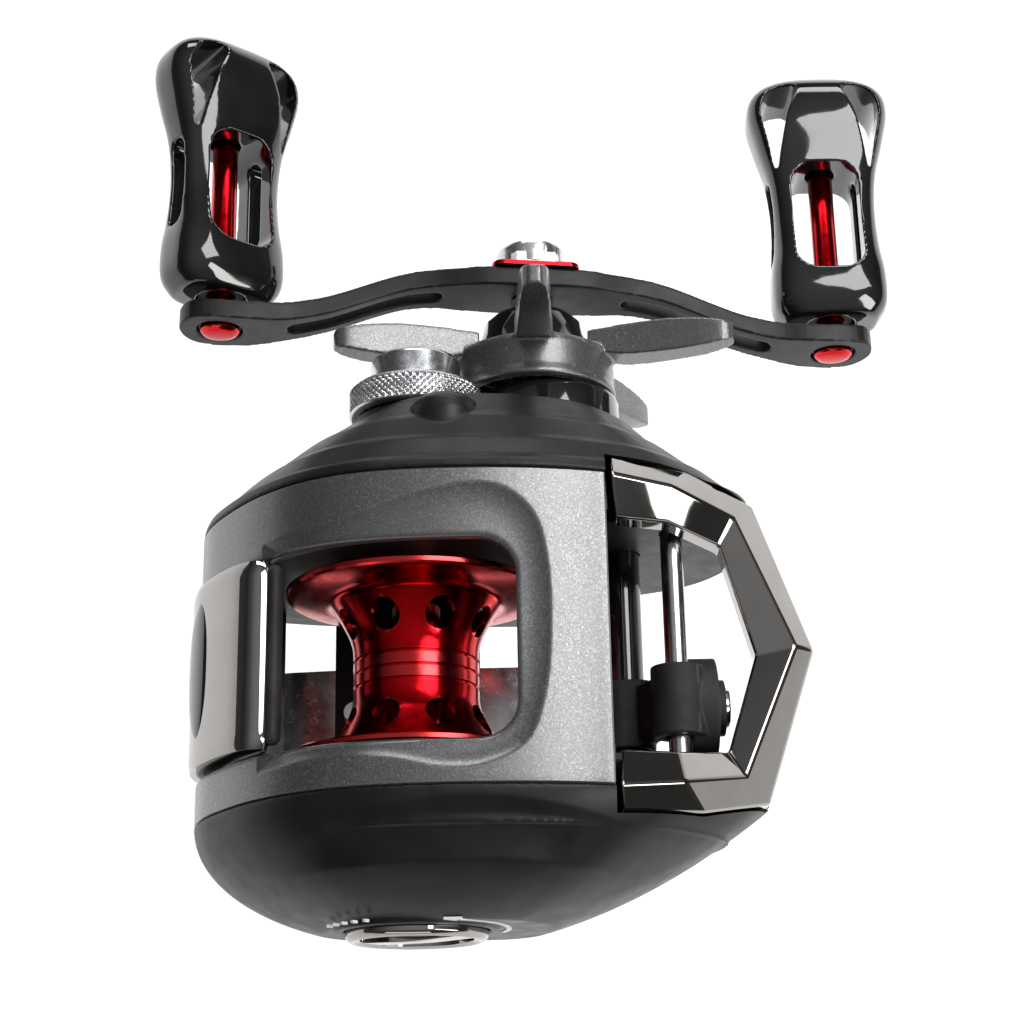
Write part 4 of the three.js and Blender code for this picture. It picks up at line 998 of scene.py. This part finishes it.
def guide_ring():
    ring_mesh = turned([(1.9, 37.7), (2.05, 37.5), (2.4, 37.5), (2.5, 37.6), (2.5, 38.6), (2.35, 38.85),
        (2.2, 38.9), (2.0, 38.8), (1.9, 38.5), (1.9, 37.7)])
    ring_mesh.transform(Matrix.Translation((0, *EYELET)) @ Matrix.Rotation(-math.pi / 2, 4, "Z"))
    return ring_mesh


fine("line_guide", line_guide(), angle=60)
fine("line_guide_ring", guide_ring(), angle=40)
pawl_foot = drum_z(1, (WORM[1] - 4.4, WORM[1] - 2.9), PAWL_AT)
fine("line_guide_pawl", join(drum_z(0.65, (WORM[1] - 3.4, WORM[1] - 1.7), PAWL_AT), pawl_foot), bevel=0.08)
fine("pawl_cap", drum_z(1.1, (WORM[1] - 6, WORM[1] - 4.7), PAWL_AT), bevel=0.15)
fine("guide_rod", drum(1.4, (-13.4, 17.6), GUIDE_ROD), bevel=0.15)
slot = box((WORM[0] - 0.9, WORM[0] + 0.9), (-10.4, 14.6), (WORM[1] - 4, WORM[1]))
fine("worm_tube", cut(ring(1.85, 2.3, (-12.8, 17.2), WORM, 0.1), slot), angle=40)
grooved = [(1.5, -10.2 + 24.8 * i / 200) for i in range(201)]
worm_profile = [(0, -13.9), (1.4, -13.9), (1.5, -13.8), *grooved, (1.5, 18.8), (1.1, 18.8), (1.1, 20.9),
    (1, 21), (0, 21)]
fine("worm_shaft", turned(worm_profile, WORM, 64, worm_groove), angle=40)


# ---------- gears ----------
def gear_outline(teeth, module, at, shift=0.0, phase=0.0):
    pressure = math.radians(20)
    pitch = module * teeth / 2
    base = pitch * math.cos(pressure)
    root, tip = pitch - module * (1.25 - shift), pitch + module * (1 + shift)
    involute = lambda a: math.tan(a) - a
    thick = module * (math.pi / 2 + 2 * shift * math.tan(pressure)) - 0.1
    start = max(root, base)
    flank = ([root] if root < base else []) + [start + (tip - start) * i / 6 for i in range(7)]
    half = lambda r: thick / (2 * pitch) + involute(pressure) - involute(math.acos(min(1, base / r)))
    points = []
    for tooth in range(teeth):
        centre = phase + 2 * math.pi * tooth / teeth
        points += [polar(r, math.degrees(centre - half(r)), at) for r in flank]
        points += [polar(r, math.degrees(centre + half(r)), at) for r in reversed(flank)]
    return points


MAIN_TEETH, PINION_TEETH, LEVEL_TEETH, WORM_TEETH = 76, 12, 24, 21
AXES_APART = 17.3
GEAR_MODULE = 2 * AXES_APART / (MAIN_TEETH + PINION_TEETH)
LEVEL_MODULE = 0.5
to_pinion = math.atan2(-DRIVE[1], -DRIVE[0])
to_worm = math.atan2(WORM[1] - DRIVE[1], WORM[0] - DRIVE[0])
main_teeth = gear_outline(MAIN_TEETH, GEAR_MODULE, DRIVE, -0.3, to_pinion + math.pi / MAIN_TEETH)
pinion_teeth = gear_outline(PINION_TEETH, GEAR_MODULE, (0, 0), 0.3, math.atan2(DRIVE[1], DRIVE[0]))
level_teeth = gear_outline(LEVEL_TEETH, LEVEL_MODULE, DRIVE, 0, to_worm)
worm_teeth = gear_outline(WORM_TEETH, LEVEL_MODULE, WORM, 0, to_worm + math.pi + math.pi / WORM_TEETH)
fine("main_gear", cut(prism_y(main_teeth, (21.6, 24.6)), drum(12.4, (23, 30), DRIVE),
    drum(3.7, (20, 30), DRIVE)), bevel=0.05)
pinion = join(turned([(0, 15.7), (3.1, 15.7), (3.1, 19.7), (1.95, 20.1), (1.95, 28.2), (3.3, 28.2),
    (3.3, 29.2), (0, 29.2)]), prism_y(pinion_teeth, (21, 25.2)))
fine("pinion_gear", cut(pinion, drum(1.2, (10, 40)), box((-4, 4), (15, 17.4), (-0.8, 0.8))), bevel=0.04)
fine("level_wind_drive_gear", cut(prism_y(level_teeth, (19, 20.8)), drum(3.6, (10, 30), DRIVE)), bevel=0.05)
fine("worm_gear", cut(prism_y(worm_teeth, (19, 20.8)), drum(1.4, (10, 30), WORM)), bevel=0.05)


# ---------- inner pieces ----------
def bearing(inner, outer, span, at=(0, 0)):
    """Races with a shield set back between them."""
    y0, y1 = span
    a, b, c = inner + 0.28 * (outer - inner), inner + 0.72 * (outer - inner), 0.1
    return turned([(inner, y0 + c), (inner + c, y0), (a, y0), (a, y0 + 0.2), (b, y0 + 0.2), (b, y0),
        (outer - c, y0), (outer, y0 + c), (outer, y1 - c), (outer - c, y1), (b, y1), (b, y1 - 0.2),
        (a, y1 - 0.2), (a, y1), (inner + c, y1), (inner, y1 - c), (inner, y0 + c)], at)


fine("spool_bearing_palm", bearing(1.65, 5, (-23.8, -21)))
fine("spool_bearing_gear", bearing(3.35, 5.5, (13.7, 17.3)))
fine("drive_shaft_bearing", bearing(2.55, 5, (14.9, 18), DRIVE))
fine("one_way_bearing", bearing(4.6, 6.6, (29.8, 37.2), DRIVE))
fine("roller_sleeve", ring(3.1, 4.4, (27.8, 38.6), DRIVE))
fine("drag_washer_inner", ring(3.8, 12, (23.1, 23.7), DRIVE, 0.05))
fine("drag_pressure_plate", ring(3.6, 11.4, (23.9, 25), DRIVE))
fine("drag_washer_outer", ring(3.6, 9.4, (25.2, 25.8), DRIVE, 0.05))
fine("drag_spring_washer", turned([(3.6, 26.4), (6.6, 26), (6.6, 26.5), (3.6, 26.9), (3.6, 26.4)], DRIVE))
fine("drive_shaft", turned([(0, 14.8), (2.2, 14.8), (2.4, 15), (2.4, 18.4), (3.4, 18.4), (3.4, 27.4),
    (2.9, 27.4), (2.9, 54.6), (2.5, 54.6), (2.5, 60.3), (2.2, 60.6), (0, 60.6)], DRIVE))
yoke = prism_y(rounded_rect((-9.4, 3), (-10, 10), 1.6), (26.2, 27.6))
room = [box((0, 10), (20, 30), (-2.3, 2.3)), drum(2.3, (20, 30)), box((1.2, 10), (20, 30), (-12, -2)),
    box((-10, -7.4), (20, 30), (-6.5, 1.3)), box((-10, -5.4), (20, 30), (4.6, 12))]
fine("pinion_yoke", cut(yoke, *room, *[drum(1.35, (20, 30), (POST_X, z)) for z in POST_Z]), bevel=0.12)
for number, z in enumerate(POST_Z, 1):
    fine("yoke_post_%d" % number, drum(1, (14.3, 30.6), (POST_X, z)), bevel=0.15)
    coil = [(POST_X + 1.5 * math.cos(3 * math.pi * t / 80), 29.3 + 0.8 * t / 80,
        z + 1.5 * math.sin(3 * math.pi * t / 80)) for t in range(81)]
    fine("yoke_spring_%d" % number, tube(coil, 0.17), angle=60)


def clutch_cam():
    cam = prism_y([(-21, -2.6), (-21, 0.2), (-15, 7.4), (-7.8, 9), (-7.8, -9), (-13, -9)], (16.7, 17.9))
    slope = 1.4 / 3.5
    for tab in (-6.5, 4.6):
        low, high = tab - 5, tab + 3.6
        cam = join(cam, prism_x([(17.4, low), (25.7 + slope * (low - tab), low),
            (25.7 + slope * (high - tab), high), (17.4, high)], (-9, -7.8)))
    return cam


fine("clutch_cam", clutch_cam(), bevel=0.1)
fine("brake_cam", cut(drum(11, (-27.5, -25)), drum(2.3, (-29, -26.3)), drum(8, (-26.1, -20))), bevel=0.12)
legs = [drum(1, (-24.7, -18.2), polar(CARRIER_LEG_R, a)) for a in CARRIER_LEGS]
fine("magnet_carrier", join(ring(7, 13, (-19.4, -18)), *legs), bevel=0.06)
for number, angle in enumerate((30, 150, 270), 1):
    fine("brake_magnet_%d" % number, drum(2, (-17.7, -15.9), polar(10, angle)), bevel=0.15)


# ---------- foot and fasteners ----------
def reel_foot():
    side = prism_y([(-24, -24), (32, -24), (32, -23.3), (21, -21.9), (-13, -21.9), (-24, -23.3)],
        (-6.6, 6.6))
    plan = prism_z(rounded_rect((-24, 32), (-6.6, 6.6), 5.4, 16), (-26, -20))
    holes = [drum_z(r, (-30, top), (x, 0)) for x in RIVET_X for r, top in ((1.65, -20), (2.6, -23.1))]
    return cut(common(side, plan), *holes)


fine("reel_foot", reel_foot(), bevel=0.25)
for number, x in enumerate(RIVET_X, 1):
    rivet = join(drum_z(1.4, (-23.4, -18.4), (x, 0)), drum_z(2.35, (-23.9, -23.3), (x, 0)))
    fine("foot_rivet_%d" % number, rivet, bevel=0.12)
for number, at in enumerate(PLATE_SCREWS, 1):
    head = turned([(0, 17.6), (1.1, 17.6), (1.1, 23.6), (2.2, 23.6), (2.2, 24.6), (1.9, 24.9),
        (1.5, 25.1), (0, 25.1)], at)
    slot = box((at[0] - 1.8, at[0] + 1.8), (24.5, 26), (at[1] - 0.3, at[1] + 0.3))
    fine("gear_plate_screw_%d" % number, cut(head, slot), bevel=0.05)


# ---------- chassis ----------
def cover_seat(grow):
    band = cut(prism_y(inset(BODY, -grow), (COVER_Y[0] - grow, COVER_Y[1] + grow)),
               prism_y(inset(BODY, COVER_WALL + grow), (COVER_Y[0] - 5, COVER_Y[1] + 5)))
    return cut(band, box((COVER_FRONT_X + grow, 60), (-40, 40), (-40, 40)),
               box((-40, 60), (-40, 40), (-40, COVER_REAR_Z - grow)))


def chassis():
    inner = inset(BODY, COVER_WALL + 2 * GAP + 1.3)
    nose = lambda span: box((22, 60), span, (-40, 40))
    gear_room = cut(prism_y(inner, (15.4, 30)), nose((14.4, 18.6)))
    gear_wall = cut(prism_y(BODY, (13, 20.6)), gear_room, nose((12, 16.8)))
    spool_room = drum(17.1, (-30, 0), segments=96)
    palm_wall = cut(prism_y(BODY, (-16.9, -12)), prism_y(inner, (-30, -14.9)), spool_room)
    posts = [drum(2.4, (13.4, 20.6), at) for at in PLATE_SCREWS]
    posts[2] = cut(posts[2], box((22, 60), (0, 18.6), (-40, 40)))
    whole = join(
        gear_wall,
        prism_y([(-25.4, -15.6), (-19.4, -19.6), (-18.4, -15.4), (-23.4, -14)], (-13, 14)),
        palm_wall,
        prism_y([(19.5, -21.5), (25.5, -21.5), (25.5, -19.4), (19.5, -19.4)], (-13, 17.5)),
        prism_y([(19.6, 13), (23.4, 11.8), (23.4, 14.2), (19.6, 15.4)], (-13, 17.5)),
        drum(7.2, (14.9, 17.5)), drum(7, (14.9, 18.2), DRIVE), *posts,
        box((-12, 7.6), (-13, 14), (-21.6, -19)))
    above = prism_y([(23.9, 10.2), (31.5, 7.4), (38, 1.8), (50, -3), (50, 40), (23.9, 40)], (-40, 40))
    seats = [drum(5.65, (13.5, 30)), drum(4, (10, 14)), drum(5.15, (14.4, 30), DRIVE),
        drum(2.45, (15, 17.4), WORM), drum(1.75, (15, 30), WORM), drum(2.45, (-13, -10), WORM),
        drum(1.75, (-14.1, -10), WORM), drum(1.55, (15, 17.8), GUIDE_ROD),
        drum(1.55, (-13.6, -10), GUIDE_ROD)]
    seats += [drum(1.15, (14.2, 30), (POST_X, z)) for z in POST_Z]
    seats += [drum(1.3, (17.2, 30), at) for at in PLATE_SCREWS]
    seats += [drum_z(1.65, (-40, -10), (x, 0)) for x in RIVET_X]
    thumb_room = box((-22.2, -18.6), (12, 16.6), (-8.4, 1))
    return cut(whole, cover_seat(GAP), above, hood(GAP, 6), *seats, thumb_room)


fine("frame", chassis(), bevel=0.12, angle=40)


# ---------- floor, light and camera ----------
def stage_floor():
    mesh = bpy.data.meshes.new("floor")
    mesh.from_pydata([(-3, -3, -0.06), (3, -3, -0.06), (3, 3, -0.06), (-3, 3, -0.06)], [], [(0, 1, 2, 3)])
    look = Look("pale_floor", 0.0)
    look.colour(look.ramp(look.noise(60), [(0.3, (0.5, 0.5, 0.5)), (0.7, (0.53, 0.53, 0.53))]))
    look.roughness(look.noise(20), 0.6, 0.75)
    look.shader.inputs["Emission Color"].default_value = (1, 1, 1, 1)
    look.shader.inputs["Emission Strength"].default_value = 0.72
    mesh.materials.append(look.material)
    floor = add_object("floor", mesh)


def soft_light(name, at, size, power, colour=(1, 1, 1)):
    data = bpy.data.lights.new(name, "AREA")
    data.shape = "RECTANGLE"
    data.size, data.size_y = size
    data.energy = power
    data.color = colour
    lamp = add_object(name, data)
    lamp.location = at
    lamp.rotation_euler = (Vector((0, 0.02, 0.02)) - Vector(at)).to_track_quat("-Z", "Y").to_euler()


stage_floor()
soft_light("key_light", (0.27, 0.22, 0.55), (0.34, 0.34), 2.7)
soft_light("front_light", (0.5, -0.25, 0.42), (0.16, 0.5), 2.6, (1, 0.98, 0.94))
soft_light("handle_light", (0.05, 0.6, 0.3), (0.5, 0.16), 1.6)
soft_light("palm_light", (-0.1, -0.6, 0.12), (0.5, 0.12), 0.35)


def studio():
    """A dim room, lighter above and below, with a plain pale backdrop for the camera."""
    world = bpy.data.worlds.new("studio")
    world.use_nodes = True
    graph = Graph(world.node_tree)
    link, room = graph.links.new, graph.nodes["Background"]
    split = graph.node("SeparateXYZ")
    link(graph.node("TexCoord").outputs["Generated"], split.inputs[0])
    height = graph.node("MapRange", From_Min=-1)
    link(split.outputs[2], height.inputs["Value"])
    levels = ((0.0, 0.3), (0.45, 0.1), (0.62, 0.05), (0.8, 0.16), (1.0, 0.42))
    tones = graph.ramp(height.outputs["Result"], [(at, (level,) * 3) for at, level in levels])
    link(tones, room.inputs["Color"])
    backdrop = graph.node("Background", Color=(0.95, 0.95, 0.95, 1))
    mix = graph.node("MixShader")
    link(graph.node("LightPath").outputs["Is Camera Ray"], mix.inputs[0])
    link(room.outputs[0], mix.inputs[1])
    link(backdrop.outputs[0], mix.inputs[2])
    link(mix.outputs[0], graph.nodes["World Output"].inputs[0])
    return world


bpy.context.scene.world = studio()
bpy.context.scene.view_settings.view_transform = "Standard"

SENSOR, FOCAL_LENGTH = 36, 67.2
CAMERA_AT = (0.00838, -0.05717, 0.25781)
tilt, roll = math.radians(18.65), math.radians(1.1)
back = -Vector((0, math.sin(tilt), -math.cos(tilt)))
flat_up = Vector((0, math.cos(tilt), math.sin(tilt)))
flat_right = Vector((1, 0, 0))
right = flat_right * math.cos(roll) - flat_up * math.sin(roll)
up = flat_up * math.cos(roll) + flat_right * math.sin(roll)
lens = bpy.data.cameras.new("camera")
lens.sensor_width = SENSOR
lens.lens = FOCAL_LENGTH
lens.clip_start = 0.01
camera = add_object("camera", lens)
camera.matrix_world = Matrix.Translation(CAMERA_AT) @ Matrix((right, up, back)).transposed().to_4x4()
bpy.context.scene.camera = camera

left_out = sorted(set(BODY_OF) - {o.name[:-5] for o in bpy.data.objects if o.name.endswith("_fine")})
if left_out:
    raise RuntimeError("nodes with no fine piece: " + ", ".join(left_out))
